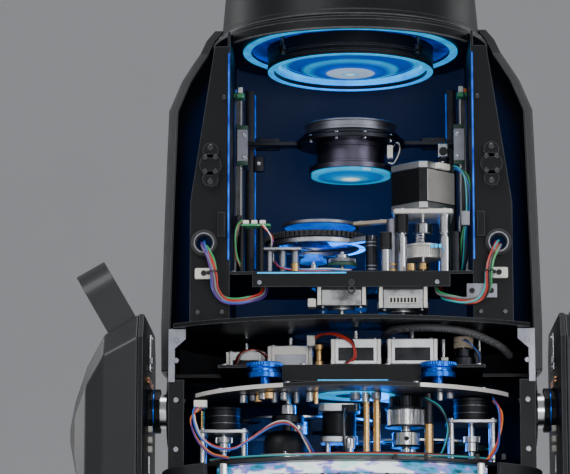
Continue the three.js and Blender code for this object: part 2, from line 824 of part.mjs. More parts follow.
// Side plate of the lower head with the hub that the head tilts on. The tilt axis is at its origin.
function trunnionPlate(side) {
  const outer = sidePlateOuter;
  const x = [side * (outer - sidePlate.thick), side * outer];
  const plate = block(x, [-sidePlate.front, sidePlate.back], [head.low, sidePlate.top]);
  const flange = block(
    [side * (outer - sidePlate.flangeWidth), side * outer],
    [-sidePlate.front - sidePlate.thick, -sidePlate.front],
    [head.low, sidePlate.flangeTop],
  );
  const collarEnd = armInner - seat;
  const shaftEnd = pulleyOuter + trunnion.tip;
  const hubProfile = [
    [0, outer - sidePlate.thick / 2],
    [trunnion.flange, outer - sidePlate.thick / 2],
    [trunnion.flange, outer + trunnion.flangeThick],
    [trunnion.hub, outer + trunnion.flangeThick],
    [trunnion.hub, collarEnd - trunnion.collarThick],
    [trunnion.collar, collarEnd - trunnion.collarThick],
    [trunnion.collar, collarEnd],
    [trunnion.shaft, collarEnd],
    [trunnion.shaft, shaftEnd],
    [0, shaftEnd],
  ];
  if (side > 0) {
    hubProfile.splice(-2, 0, [trunnion.shaft, pulleyInner], [tiltPulley.radius, pulleyInner]);
    hubProfile.splice(-2, 0, [tiltPulley.radius, pulleyOuter], [trunnion.shaft, pulleyOuter]);
  }
  const hub = turned(hubProfile).rotateY(side * quarterTurn);
  return join(plate, flange, hub);
}

// Half outline of the rear cover at one row of shares, from its rim round the back, shrunk by an inset.
function coverRing([highShare, wideShare, deepShare], inset, front) {
  const high = head.low + highShare * (cover.top - head.low);
  const wide = head.halfWidth * wideShare;
  const deep = head.back * deepShare;
  const turn = (i) => (i / (cover.points - 1)) * Math.PI;
  const power = 2 / cover.roundness;
  const bulge = (value) => Math.sign(value) * Math.abs(value) ** power;
  const back = Array.from({ length: cover.points }, (_, i) => [
    (wide - inset) * bulge(Math.cos(turn(i))),
    (deep - inset) * bulge(Math.max(0, Math.sin(turn(i)))),
  ]);
  return level([...back, [inset - wide, front], [wide - inset, front]], high);
}

function coverSolid(inset, front = -cover.rim, ends = 0) {
  const rings = coverShares.map((row) => coverRing(row, inset, front));
  if (ends > 0) {
    rings[0] = rings[0].map(([x, y, z]) => [x, y, z - ends]);
    rings[rings.length - 1] = rings.at(-1).map(([x, y, z]) => [x, y, z + ends]);
  }
  return loft(rings);
}

function rearCover() {
  const wide = head.halfWidth + overrun;
  const hollow = coverSolid(cover.wall, cover.rimDepth - cover.rim, overrun);
  const mouth = coverSolid(cover.rimThick, -cover.rim - overrun, overrun);
  const hubGap = block([-wide, wide], [-cover.rim - overrun, notch.back], [head.low - overrun, notch.top]);
  const collar = rod(hood.radius + seat, [hoodLow, hoodLow + hood.high], 0, 0, sides.fine);
  return cut(coverSolid(0), hollow, mouth, hubGap, collar);
}

// Front frame of the upper head: a flange that faces forwards and a web that runs back from its inner edge.
function sideFrame(side) {
  const low = shelf.low + shelf.thick + seat;
  const { inner, thick, front, back, waist, top } = frame;
  const wide = inner + frame.flange;
  const narrow = inner + frame.flangeTop;
  const face = [
    [inner, low],
    [wide, low],
    [wide, waist],
    [narrow, top],
    [inner, top],
  ].map(([x, z]) => [side * x, z]);
  const flat = (y) => face.map(([x, z]) => [x, y, z]);
  const flange = loft([flat(-front), flat(thick - front)], [0, 2]);
  const web = block([side * inner, side * (inner + thick)], [-front, back], [low, frame.webTop]);
  const stud = (z, radius) => rod(radius, [-thick, star.thick])
    .rotateX(quarterTurn)
    .translate(side * (frame.inner + star.fromFrame), -front, z);
  const ends = [-1, 1].map((up) => stud(star.rise + (up * star.height) / 2, star.radius * star.endShare));
  const ring = tube(grommet.radius, grommet.bore, [-thick, grommet.thick])
    .rotateX(quarterTurn)
    .translate(side * (frame.inner + grommet.fromFrame), -front, grommet.rise);
  return join(cut(flange, grommetBore(side)), web, ends, stud(star.rise, star.radius), ring);
}

function grommetBore(side) {
  return rod(grommet.bore, [-frame.thick * 2, frame.thick * 2], 0, 0, sides.medium)
    .rotateX(quarterTurn)
    .translate(side * (frame.inner + grommet.fromFrame), -frame.front, grommet.rise);
}

function linearRail(side) {
  const out = frame.inner - seat;
  const half = rail.width / 2;
  return block([side * (out - rail.depth), side * out], [-half, half], [upperTray.top + seat, rail.high]);
}

// Outer light shade, the ring it stands on and the lens barrel that hangs inside it, turned as one.
function frontHood() {
  const { radius, lip, throat, wall } = hood;
  const low = hoodLow;
  const top = low + hood.high;
  const lipTop = low + hood.lipHigh;
  const floor = low + hood.floor;
  const floorTop = floor + hood.floorThick;
  const inner = barrel.radius - barrel.wall;
  const ledge = low - barrel.ledgeDrop;
  return turned([
    [radius, low],
    [lip, (low + lipTop) / 2],
    [radius - seat, lipTop],
    [throat + wall - running, top - wall],
    [throat, top],
    [throat - wall, top],
    [throat - running, floorTop],
    [inner - barrel.ledgeWidth, floorTop],
    [inner - barrel.ledgeWidth, ledge],
    [inner, ledge],
    [inner, low - barrel.drop],
    [barrel.radius, low - barrel.drop],
    [barrel.radius, floor],
    [radius - wall, floor],
    [radius - wall, low],
    [radius, low],
  ], sides.fine);
}

// Glass bowed out on both faces, with a flat rim that its holder grips.
function lensBody({ rim, edge, crown }, radius, steps = 3) {
  const bowed = radius - rim;
  const arc = Array.from({ length: steps + 1 }, (_, i) => i / steps);
  const bow = (share) => crown * (1 - share * share);
  const under = arc.map((share) => [bowed * share, -bow(share)]);
  const over = arc.slice().reverse().map((share) => [bowed * share, edge + bow(share)]);
  return turned([...under, [radius, 0], [radius, edge], ...over], sides.fine);
}

function frontLensBody() {
  const radius = barrel.radius - barrel.wall - seat;
  return lensBody(frontLens, radius).translate(0, 0, hoodLow - barrel.ledgeDrop - seat - frontLens.edge);
}

// Anything that reaches back to the rear cover is cut to the cover's inner face, less the seat.
function fittedBehind(outline, z, holes) {
  return common(slab(outline, z, holes), coverSolid(cover.wall + seat, -head.back));
}

function topPlateBody() {
  const z = [frame.webTop + seat, frame.webTop + seat + topPlate.thick];
  const disc = fittedBehind(circle(topPlate.radius), z, [[0, 0, topPlate.hole]]);
  const lipLow = z[0] - topPlate.lip;
  const lip = cut(
    slab(circle(topPlate.radius), [lipLow, z[0] + overrun]),
    slab(circle(topPlate.radius - topPlate.thick), [lipLow - overrun, z[0] + overrun * 2]),
  );
  const frontOnly = block(
    [-frame.inner, frame.inner],
    [-topPlate.radius, -frame.front - seat],
    [lipLow - overrun, z[0] + overrun],
  );
  return join(disc, common(lip, frontOnly));
}

function shelfPlate() {
  const sag = shelf.front - shelf.ends;
  const half = head.halfWidth - shelf.inset;
  const radius = (half ** 2 + sag ** 2) / (2 * sag);
  const spread = Math.asin(half / radius);
  const steps = sides.medium;
  const arc = Array.from({ length: steps + 1 }, (_, i) => {
    const angle = spread * ((2 * i) / steps - 1);
    return [radius * Math.sin(angle), radius - shelf.front - radius * Math.cos(angle)];
  });
  const rimEnd = cover.rimDepth - cover.rim + seat;
  const wide = head.halfWidth;
  const outline = [
    ...arc,
    [half, rimEnd],
    [wide, rimEnd],
    [wide, head.back],
    [-wide, head.back],
    [-wide, rimEnd],
    [-half, rimEnd],
  ];
  return fittedBehind(outline, [shelf.low, shelf.low + shelf.thick], [[0, 0, shelf.hole]]);
}

function upperTrayBody() {
  const { top, thick, front, back, flangeHalf, flangeDrop, hole } = upperTray;
  const half = frame.inner - seat;
  const outline = [[-half, -front], [half, -front], [half, back], [-half, back]];
  const floor = slab(outline, [top - thick, top], [[0, 0, hole]]);
  const flange = block([-flangeHalf, flangeHalf], [-front, thick - front], [top - flangeDrop, top]);
  return join(floor, flange);
}

// A flat plate with an ear on each side that reaches the side plates.
function withEars(plate, ear, z) {
  const reach = sidePlateOuter - sidePlate.thick - seat;
  const ears = block([-reach, reach], [-ear, ear], z);
  return join(plate, ears);
}

function bored(plate, radius, z) {
  return cut(plate, rod(radius, [z[0] - overrun, z[1] + overrun], 0, 0, sides.medium));
}

function lowerTrayBody() {
  const { top, thick, half, front, back, flangeHalf, flangeDrop, ear, hole } = lowerTray;
  const z = [top - thick, top];
  const floor = block([-half, half], [-front, back], z);
  const flange = block([-flangeHalf, flangeHalf], [-front, thick - front], [top - flangeDrop, top]);
  return bored(withEars(join(floor, flange), ear, z), hole, z);
}

function roundPlateBody() {
  const z = [roundPlate.top - roundPlate.thick, roundPlate.top];
  const disc = slab(circle(head.halfWidth - roundPlate.inset), z);
  return bored(withEars(disc, roundPlate.ear, z), roundPlate.hole, z);
}

const plateLow = head.low;
const plateTop = plateLow + bottomPlate.thick;

// Bottom plate of the effects bay, with the pillars of the round plate and the pins of the two wheels.
function bottomPlateBody() {
  const z = [plateLow, plateTop];
  const reach = head.halfWidth - bottomPlate.inset;
  const plate = bored(withEars(slab(circle(reach), z), bottomPlate.ear, z), bottomPlate.hole, z);
  const root = plateTop - bottomPlate.thick / 2;
  const pillarTop = roundPlate.top - roundPlate.thick - seat;
  const pillars = postShares.map(([x, y]) => rod(post.radius, [root, pillarTop], x * reach, y * reach));
  const pins = [goboWheel, colourWheel].flatMap((wheel) => {
    const [x, y] = wheelCentre(wheel);
    const shoulder = wheel.low - wheel.hubDeep - seat;
    return [
      rod(wheelPost.radius, [root, shoulder], x, y),
      rod(wheelPost.pin, [root, wheel.low + wheel.thick], x, y),
    ];
  });
  return join(plate, pillars, pins);
}

function wheelCentre({ reach, angle }) {
  return [reach * Math.cos(angle), reach * Math.sin(angle)];
}

// A wheel with windows; its own origin is on its axle, and one window lies in the light.
function windowWheel({ radius, reach, angle, low, thick, window, count, hub, hubDeep }) {
  const holes = Array.from({ length: count }, (_, i) => {
    const turn = angle + Math.PI + (i / count) * fullTurn;
    return [reach * Math.cos(turn), reach * Math.sin(turn), window];
  });
  const disc = slab(circle(radius), [low, low + thick], holes);
  const boss = rod(hub, [low - hubDeep, low + thick / 2], 0, 0, sides.medium);
  const bore = rod(wheelPost.pin + running, [low - hubDeep - overrun, low + thick + overrun]);
  return cut(join(disc, boss), bore);
}

function rowMotorBody({ size }) {
  const low = lowerTray.top + seat;
  return join(stepper(size, [low, low + rowMotorHigh], 1, motor.bossHigh), motorPlug(size, low + motor.cap));
}

function hangingMotorBody({ high }) {
  const top = upperTray.top - upperTray.thick - seat;
  const size = motor.size;
  return join(stepper(size, [top - high, top], -1), motorPlug(size, top - high + motor.cap));
}

// Large motor of the zoom drive on a plate with four pillars; its own origin is on its shaft.
function zoomMotorBody() {
  const { low, high, plate, half, pillar, pillarInset } = zoomMotor;
  const body = stepper(motor.size, [low, low + high], -1, motor.shaftLong * 2);
  const square = block([-half, half], [-half, half], [low - plate, low]);
  const pillars = corners(pillar, half - pillarInset, [upperTray.top + seat, low]);
  return join(geometryOf(body).rotateZ(quarterTurn / 2), square, pillars);
}

function drumMotorBody({ radius, high, low }) {
  const { half, thick, leg, legInset } = drumPlate;
  const drum = rod(radius, [low - thick / 2, low + high], 0, 0, sides.medium);
  const plate = block([-half, half], [-half, half], [low - thick, low]);
  return join(drum, plate, corners(leg, half - legInset, [plateTop + seat, low - thick / 2]));
}

// Anodised screw with two flanges that holds the effects unit; it stands on the round plate.
function knobBody() {
  const { radius, waist, flange, low, high, stem, bore, boreDeep } = knob;
  return turned([
    [0, roundPlate.top + seat],
    [stem, roundPlate.top + seat],
    [stem, low],
    [radius, low],
    [radius, low + flange],
    [waist, low + flange],
    [waist, high - flange],
    [radius, high - flange],
    [radius, high],
    [bore, high],
    [bore, high - boreDeep],
    [0, high - boreDeep],
  ]);
}

function zoomCarriage() {
  const { ring, ringLow, ringThick, tube: tubeRadius, tubeWall, low, high, crown, crownThick } = zoom;
  const barrelBody = turned([
    [zoomSeat.radius - zoomSeat.wall, low],
    [zoomSeat.radius, low],
    [zoomSeat.radius, low + zoomSeat.high],
    [tubeRadius, low + zoomSeat.high],
    [tubeRadius, ringLow],
    [ring, ringLow],
    [ring, ringLow + ringThick],
    [tubeRadius, ringLow + ringThick],
    [tubeRadius, high - crownThick],
    [crown, high - crownThick],
    [crown, high],
    [tubeRadius - tubeWall, high],
    [tubeRadius - tubeWall, low + zoomSeat.high - tubeWall],
    [zoomSeat.radius - zoomSeat.wall, low + zoomSeat.high - tubeWall],
    [zoomSeat.radius - zoomSeat.wall, low],
  ], sides.fine);
  const sidesOut = [-1, 1].map((side) => zoomShoe(side, ring - tubeWall, [ringLow, ringLow + ringThick]));
  return join(barrelBody, sidesOut);
}

// Arm of the zoom carriage and the shoe at its end, which runs on a rail.
function zoomShoe(side, root, armZ) {
  const { width, blockIn, blockOut, halfWidth, low, high } = zoomArm;
  const bar = block([side * root, side * (blockIn + overrun)], [-width / 2, width / 2], armZ);
  const shoe = block([side * blockIn, side * blockOut], [-halfWidth, halfWidth], [low, high]);
  const railIn = frame.inner - seat - rail.depth - seat;
  const channel = block(
    [side * railIn, side * (blockOut + overrun)],
    [-rail.width / 2 - seat, rail.width / 2 + seat],
    [low - overrun, high + overrun],
  );
  return join(bar, cut(shoe, channel));
}

function zoomLensBody() {
  const radius = zoomSeat.radius - zoomSeat.wall - seat;
  const ledge = zoom.low + zoomSeat.high - zoom.tubeWall;
  return lensBody(zoomLens, radius).translate(0, 0, ledge - seat - zoomLens.edge);
}

// A flat bar from one point to another, square at its ends.
function flatBar([fromX, fromY], [toX, toY], width, z) {
  const span = Math.hypot(toX - fromX, toY - fromY);
  const angle = Math.atan2(toY - fromY, toX - fromX);
  return block([0, span], [-width / 2, width / 2], z).rotateZ(angle).translate(fromX, fromY, 0);
}

// The toothed ring that carries the prism; its own origin is on its centre.
function prismRing() {
  const { radius, root, bore, low, thick, teeth } = prism;
  const outline = Array.from({ length: teeth * 4 }, (_, i) => {
    const at = i % 4 < 2 ? radius : root;
    const turn = (i / (teeth * 4)) * fullTurn;
    return [at * Math.cos(turn), at * Math.sin(turn)];
  });
  return slab(outline, [low, low + thick], [[0, 0, bore]]);
}

function swingHub(x, y, radius, top) {
  return rod(radius, [upperTray.top + seat, top], x, y, sides.medium);
}

function prismArmBody() {
  const { x, y, pivotX, pivotY } = prism;
  const z = [prismArm.low, prismArm.low + prismArm.thick];
  const carrier = tube(prismArm.outer, prismArm.inner, z).translate(x, y, 0);
  const share = (prismArm.outer + prismArm.inner) / 2 / Math.hypot(pivotX - x, pivotY - y);
  const from = [x + (pivotX - x) * share, y + (pivotY - y) * share];
  const link = flatBar(from, [pivotX, pivotY], prismArm.bar, z);
  return join(carrier, link, swingHub(pivotX, pivotY, prismArm.hub, z[1]));
}

function frostArmBody() {
  const { x, y, pivotX, pivotY, radius, rim, low, thick, web } = frost;
  const z = [low, low + thick];
  const disc = turned([
    [0, low],
    [radius, low],
    [radius, low + thick],
    [radius - rim, low + thick],
    [radius - rim, low + web],
    [0, low + web],
  ], sides.fine).translate(x, y, 0);
  const share = (radius - rim / 2) / Math.hypot(pivotX - x, pivotY - y);
  const from = [x + (pivotX - x) * share, y + (pivotY - y) * share];
  return join(disc, flatBar(from, [pivotX, pivotY], frost.bar, z), swingHub(pivotX, pivotY, frost.hub, z[1]));
}

const tailLow = plateLow - seat - tail.high;

function tailRing([highShare, wideShare, deepShare], inset) {
  const power = 2 / tail.roundness;
  const bulge = (value) => Math.sign(value) * Math.abs(value) ** power;
  const [, fullWide, fullDeep] = coverShares[0];
  const wide = head.halfWidth * fullWide * wideShare - inset;
  const deep = head.back * fullDeep * deepShare - inset;
  return Array.from({ length: tail.points }, (_, i) => {
    const turn = ((i + 0.5) / tail.points) * fullTurn;
    return [wide * bulge(Math.cos(turn)), deep * bulge(Math.sin(turn)), tailLow + highShare * tail.high];
  });
}

// Rear end of the head: a shell with vents behind and a guard for the fan in its floor.
function lampHouse() {
  const outer = loft(tailShares.map((row) => tailRing(row, 0)));
  const rings = tailShares.map((row) => tailRing(row, tail.wall));
  rings[0] = rings[0].map(([x, y, z]) => [x, y, z + tail.wall]);
  rings[rings.length - 1] = rings.at(-1).map(([x, y, z]) => [x, y, z + overrun]);
  const z = [tailLow - overrun, tailLow + tail.wall + overrun];
  const mouth = rod(tail.floorHole, z, 0, 0, sides.fine);
  const half = tail.bar / 2;
  const reach = tail.floorHole + overrun;
  const floor = [tailLow, tailLow + tail.wall];
  const guard = [
    block([-reach, reach], [-half, half], floor),
    block([-half, half], [-reach, reach], floor),
    rod(fan.hub, floor, 0, 0, sides.medium),
  ];
  const vents = Array.from({ length: vent.count }, (_, i) => {
    const at = tailLow + vent.foot + i * vent.apart;
    const y = [head.back / 2, head.back + overrun];
    return block([-vent.halfWidth, vent.halfWidth], y, [at, at + vent.high]);
  });
  const front = block(
    [-tail.mouthHalf, tail.mouthHalf],
    [-head.back - overrun, -head.back / 2],
    [plateLow - seat - tail.mouthHigh, plateLow],
  );
  return join(cut(outer, loft(rings), mouth, vents, front), guard);
}

const reflectorLow = plateLow - seat - reflector.high;

// Reflector bowl hung by its flange from the bottom plate.
function reflectorBowl() {
  const { mouth, neck, wall, steps, flange, flangeThick } = reflector;
  const low = reflectorLow;
  const high = plateLow - seat;
  const share = (i) => i / steps;
  const radiusAt = (i) => neck + (mouth - neck) * Math.sqrt(share(i));
  const heightAt = (i) => low + (high - low) * share(i);
  const inner = Array.from({ length: steps + 1 }, (_, i) => [radiusAt(i), heightAt(i)]);
  const outer = inner.slice(0, -1).map(([r, z]) => [r + wall, z]).reverse();
  return turned([
    ...inner,
    [flange, high],
    [flange, high - flangeThick],
    [mouth - overrun, high - flangeThick],
    ...outer,
    inner[0],
  ]);
}

function lampBody() {
  const top = reflectorLow - seat;
  const low = top - lamp.socketHigh;
  const bulbLow = top + lamp.stemLong;
  const bulbTop = bulbLow + lamp.bulbLong;
  return turned([
    [0, low],
    [lamp.socket, low],
    [lamp.socket, top],
    [lamp.stem, top],
    [lamp.stem, bulbLow],
    [lamp.bulb, bulbLow + lamp.stem],
    [lamp.bulb, bulbTop - lamp.stem],
    [lamp.stem, bulbTop],
    [0, bulbTop],
  ]);
}

function fanRotor() {
  const { radius, hub, foot: lift, high, blades, blade, twist, axle } = fan;
  const low = tailLow + lift;
  const body = rod(hub, [low, low + high], 0, 0, sides.medium);
  const pin = rod(axle, [tailLow + tail.wall + seat, low + overrun]);
  const vane = (i) => block([hub - blade, radius], [-blade / 2, blade / 2], [-high / 2, high / 2])
    .rotateX(twist)
    .translate(0, 0, low + high / 2)
    .rotateZ((i / blades) * fullTurn);
  return join(body, pin, Array.from({ length: blades }, (_, i) => vane(i)));
}

function loomTube(side) {
  const points = loomRoute.map(([x, y, z]) => new THREE.Vector3(side * x, y, z));
  const section = circle(loom.radius, loom.sides).map(([x, y]) => new THREE.Vector2(x, y));
  const extrudePath = new THREE.CatmullRomCurve3(points);
  const options = { steps: loom.steps, extrudePath, bevelEnabled: false };
  return new THREE.ExtrudeGeometry(new THREE.Shape(section), options);
}

function placed(mesh, x, y = 0, z = 0) {
  mesh.position.set(x, y, z);
  return mesh;
}

function baseGroup() {
  const group = new THREE.Group();
  const [footX, footY] = [base.width / 2 - base.footInset, base.depth / 2 - base.footInset];
  [-1, 1].forEach((y) => [-1, 1].forEach((x) => {
    const name = `foot_${y < 0 ? 'front' : 'rear'}_${x < 0 ? 'left' : 'right'}`;
    group.add(placed(piece(name, foot(), finish.rubber), x * footX, y * footY));
  }));
  group.add(
    piece('base_housing', baseHousing(), finish.shell),
    piece('base_plate', basePlate(), finish.powder),
    piece('display_panel', displayPanel(), finish.shell),
    piece('menu_dial', menuDial(), finish.rubber),
    piece('back_button', backKey(), finish.rubber),
    piece('connector_panel', connectorPanel(), finish.powder),
    piece('power_supply', powerSupply(), finish.sheet),
    placed(piece('pan_motor', panMotorBody(), finish.motor), panMotor.x),
  );
  const loop = piece('pan_belt', panBelt(), finish.rubber);
  loop.rotation.z = -quarterTurn;
  group.add(loop);
  return group;
}

function yokeGroup() {
  const group = new THREE.Group();
  group.add(
    piece('yoke_frame', yokeFrame(), finish.powder),
    piece('pan_tube', panTubeBody(), finish.sheet),
    piece('left_arm_cover', armCover(-1), finish.shell),
    piece('right_arm_cover', armCover(1), finish.shell),
    placed(piece('tilt_motor', tiltMotorBody(), finish.motor), 0, 0, tiltHeight - tiltMotor.drop),
    placed(piece('tilt_belt', tiltBelt(), finish.rubber), 0, 0, tiltHeight),
  );
  const crown = armCrown();
  [-1, 1].forEach((side) => {
    const loop = piece(side < 0 ? 'left_handle' : 'right_handle', handleLoop(), finish.shell);
    placed(loop, side * crown.x, 0, crown.z);
    loop.rotation.y = side * crown.lean;
    group.add(loop);
  });
  return group;
}

function effectsGroup() {
  const group = new THREE.Group();
  group.add(
    piece('prism_arm', prismArmBody(), finish.bright),
    placed(piece('prism_ring', prismRing(), finish.powder), prism.x, prism.y),
    piece('frost_arm', frostArmBody(), finish.bright),
    placed(piece('gobo_wheel', windowWheel(goboWheel), finish.bright), ...wheelCentre(goboWheel)),
    placed(piece('colour_wheel', windowWheel(colourWheel), finish.bright), ...wheelCentre(colourWheel)),
    piece('zoom_carriage', zoomCarriage(), finish.ring),
    piece('zoom_lens', zoomLensBody(), finish.glass),
  );
  return group;
}

function motorGroup() {
  const group = new THREE.Group();
  const add = (name, shape, material, { x, y }) => group.add(placed(piece(name, shape, material), x, y));
  rowMotors.forEach((item) => add(item.name, rowMotorBody(item), finish.motor, item));
  hangingMotors.forEach((item) => add(item.name, hangingMotorBody(item), finish.motor, item));
  const plateInner = sidePlateOuter - sidePlate.thick;
  drumMotors.forEach((item) => {
    const spot = { x: item.side * (plateInner - item.inset), y: item.y };
    add(item.name, drumMotorBody(item), finish.powder, spot);
  });
  add('zoom_motor', zoomMotorBody(), finish.motor, zoomMotor);
  return group;
}

// The head, with the tilt axis at its origin.
function headGroup() {
  const group = new THREE.Group();
  group.position.z = tiltHeight;
  [-1, 1].forEach((side) => {
    const hand = side < 0 ? 'left' : 'right';
    group.add(
      piece(`${hand}_side_plate`, trunnionPlate(side), finish.powder),
      piece(`${hand}_side_frame`, sideFrame(side), finish.powder),
      piece(`${hand}_rail`, linearRail(side), finish.bright),
      piece(`${hand}_loom`, loomTube(side), finish.wire),
      placed(piece(`${hand}_knob`, knobBody(), finish.blue), side * knob.x, knob.y),
    );
  });
  group.add(
    piece('rear_cover', rearCover(), finish.shell),
    piece('front_hood', frontHood(), finish.powder),
    piece('front_lens', frontLensBody(), finish.glass),
    piece('top_plate', topPlateBody(), finish.powder),
    piece('shelf_plate', shelfPlate(), finish.powder),
    piece('upper_tray', upperTrayBody(), finish.powder),
    piece('lower_tray', lowerTrayBody(), finish.powder),
    piece('round_plate', roundPlateBody(), finish.sheet),
    piece('bottom_plate', bottomPlateBody(), finish.sheet),
    piece('lamp_house', lampHouse(), finish.shell),
    piece('lamp_reflector', reflectorBowl(), finish.bright),
    piece('arc_lamp', lampBody(), finish.glass),
    piece('cooling_fan', fanRotor(), finish.powder),
    effectsGroup(),
    motorGroup(),
  );
  return group;
}

const fixture = new THREE.Group();
fixture.add(baseGroup(), yokeGroup(), headGroup());

export default fixture;
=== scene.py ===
"""Looks of a moving head beam light whose head has its front cover off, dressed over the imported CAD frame.

Shapes are worked out in millimetres in the row frame (+Z up, front towards -Y) and turned into metres by dress().
A shape is a pair: an array of points, and a list of face arrays, each array with one number of corners a face.
"""

import json
import math

import bpy
import numpy as np
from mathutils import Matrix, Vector, geometry

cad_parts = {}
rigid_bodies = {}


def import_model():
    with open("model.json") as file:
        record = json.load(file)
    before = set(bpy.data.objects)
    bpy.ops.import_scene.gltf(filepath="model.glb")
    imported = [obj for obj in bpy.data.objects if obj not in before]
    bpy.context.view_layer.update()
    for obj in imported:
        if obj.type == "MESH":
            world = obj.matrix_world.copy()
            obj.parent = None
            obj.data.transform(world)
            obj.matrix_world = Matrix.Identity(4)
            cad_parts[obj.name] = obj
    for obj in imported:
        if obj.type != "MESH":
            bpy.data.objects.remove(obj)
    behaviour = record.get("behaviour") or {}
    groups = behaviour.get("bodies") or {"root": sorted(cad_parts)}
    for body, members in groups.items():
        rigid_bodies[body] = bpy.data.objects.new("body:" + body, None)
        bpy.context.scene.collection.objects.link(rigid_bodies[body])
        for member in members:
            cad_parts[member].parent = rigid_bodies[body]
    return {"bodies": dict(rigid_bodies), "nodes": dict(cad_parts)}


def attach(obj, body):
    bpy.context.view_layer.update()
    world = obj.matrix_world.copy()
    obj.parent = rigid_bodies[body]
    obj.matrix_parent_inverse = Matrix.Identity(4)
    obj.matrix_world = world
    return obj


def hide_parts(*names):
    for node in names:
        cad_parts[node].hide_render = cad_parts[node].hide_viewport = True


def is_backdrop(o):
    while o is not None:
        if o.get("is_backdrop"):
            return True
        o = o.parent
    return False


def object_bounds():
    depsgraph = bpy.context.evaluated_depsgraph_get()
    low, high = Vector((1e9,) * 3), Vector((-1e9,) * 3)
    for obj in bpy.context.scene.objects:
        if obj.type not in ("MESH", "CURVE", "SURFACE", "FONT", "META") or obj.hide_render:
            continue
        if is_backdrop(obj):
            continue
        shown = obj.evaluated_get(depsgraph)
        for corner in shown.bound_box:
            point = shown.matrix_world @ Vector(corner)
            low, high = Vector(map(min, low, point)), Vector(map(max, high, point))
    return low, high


bl_info = {
    "name": "Moving head beam light",
    "version": (1, 0, 0),
    "blender": (4, 5, 0),
    "location": "3D View > Sidebar > Beam light",
    "description": "Builds the looks of an opened moving head beam light around its CAD frame",
    "category": "Object",
}

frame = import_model()
CAD_BOX = [list(corner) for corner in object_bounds()]
TURN = 2 * math.pi
MM = 0.001
SIDES = (("left", -1), ("right", 1))
POWER = 2.6  # of the superellipse that the covers follow
SOCKET = 0.55  # of a screw's radius
SENSOR = 36  # millimetres, width of the camera's sensor
# Tops of the upper tray, the lower one and the bottom plate, and the underside of the round plate
TRAY, ROW, BAY, CEILING = 512.9, 434, 353.8, 409.4

# Rows of unit axes that a shape built along Z is laid on
LIE = {
    "z": np.eye(3),
    "x": np.array([[0.0, 1, 0], [0, 0, 1], [1, 0, 0]]),
    "y": np.array([[0.0, 0, 1], [1, 0, 0], [0, 1, 0]]),
    "front": np.array([[1.0, 0, 0], [0, 0, 1], [0, -1, 0]]),
    "down": np.array([[1.0, 0, 0], [0, -1, 0], [0, 0, -1]]),
}


# ---------------------------------------------------------------- shapes


def weld(points, faces):
    """Joins points that agree to a tenth of a micrometre; a face that keeps fewer than three corners goes."""
    _, first, number = np.unique(np.round(points, 4), axis=0, return_index=True, return_inverse=True)
    number = number.reshape(-1)
    kept = []
    for face in faces:
        face = number[face]
        repeated = face == np.roll(face, -1, 1)
        lost = repeated.sum(1)
        kept.append(face[lost == 0])
        if face.shape[1] == 4:
            one = lost == 1
            kept.append(face[one][~repeated[one]].reshape(-1, 3))
    return points[first], [face for face in kept if len(face)]


def outward(shape):
    """Turns the faces over where the volume, summed over the fan of each face, comes out negative."""
    points, faces = shape
    volume = 0.0
    for face in faces:
        corners = points[face]
        fan = np.cross(corners[:, 1:-1], corners[:, 2:])
        volume += np.einsum("ij,ikj->", corners[:, 0], fan)
    return (points, [face[:, ::-1] for face in faces]) if volume < 0 else shape


def join(*shapes):
    """Several shapes as one; each one's corner numbers move up by the points before it."""
    starts = np.cumsum([0] + [len(points) for points, _ in shapes[:-1]])
    faces = [face + start for start, (_, own) in zip(starts, shapes) for face in own]
    return np.concatenate([points for points, _ in shapes]), faces


def between(number):
    """Four-cornered faces between rows of numbered points, each row a closed loop."""
    near = np.roll(number, -1, 1)
    return np.stack([number[:-1], near[:-1], near[1:], number[1:]], -1).reshape(-1, 4)


def skin(rows, ring=False):
    """Faces between rows of points. A ring also joins the last row to the first; else flat ends shut it."""
    count, across = rows.shape[:2]
    number = np.arange(count * across).reshape(count, across)
    if ring:
        number = np.vstack([number, number[:1]])
    ends = [] if ring else [number[:1, ::-1], number[-1:]]
    return outward(weld(rows.reshape(-1, 3), [between(number), *ends]))


def lay(shape, origin=(0, 0, 0), along="z"):
    """A shape moved so that its own Z lies along the named axis and its origin at the given point."""
    points, faces = shape
    axes = LIE[along] if isinstance(along, str) else np.asarray(along)
    return outward((points @ axes + np.asarray(origin, float), faces))


def repeated_faces(shape, count):
    """The faces of a shape for each of its copies, whose points follow one another."""
    steps = np.arange(count)[:, None, None] * len(shape[0])
    return [(face[None] + steps).reshape(-1, face.shape[1]) for face in shape[1]]


def copies(shape, places):
    """One copy of a shape at each place."""
    places = np.asarray(places, float).reshape(-1, 3)
    return (shape[0][None] + places[:, None]).reshape(-1, 3), repeated_faces(shape, len(places))


def spun(shape, count, centre=(0, 0), start=0.0):
    """Copies turned about an upright line through centre, at equal steps of a whole turn."""
    points = shape[0]
    turn = start + np.arange(count) / count * TURN
    flat = points[:, :2] - centre
    x = np.cos(turn)[:, None] * flat[:, 0] - np.sin(turn)[:, None] * flat[:, 1] + centre[0]
    y = np.sin(turn)[:, None] * flat[:, 0] + np.cos(turn)[:, None] * flat[:, 1] + centre[1]
    z = np.broadcast_to(points[:, 2], x.shape)
    return np.stack([x, y, z], -1).reshape(-1, 3), repeated_faces(shape, count)


def swung(shape, degrees, centre=(0, 0)):
    """A shape turned about an upright line through centre."""
    return spun(shape, 1, centre, math.radians(degrees))


def mirror(shape):
    """The same shape on the other side of the middle plane."""
    points, faces = shape
    return points * (-1, 1, 1), [face[:, ::-1] for face in faces]


def on_side(shape, sign):
    """A shape made for the right side, mirrored where the sign is negative."""
    return mirror(shape) if sign < 0 else shape


def lift(flat, z):
    """Points in plan set at a height."""
    return np.column_stack([flat, np.full(len(flat), z)])


def arc(radius, turn, squash=1):
    """Points at the given angles: radius times cosine and sine, the second one squashed."""
    return np.column_stack([radius * np.cos(turn), squash * radius * np.sin(turn)])


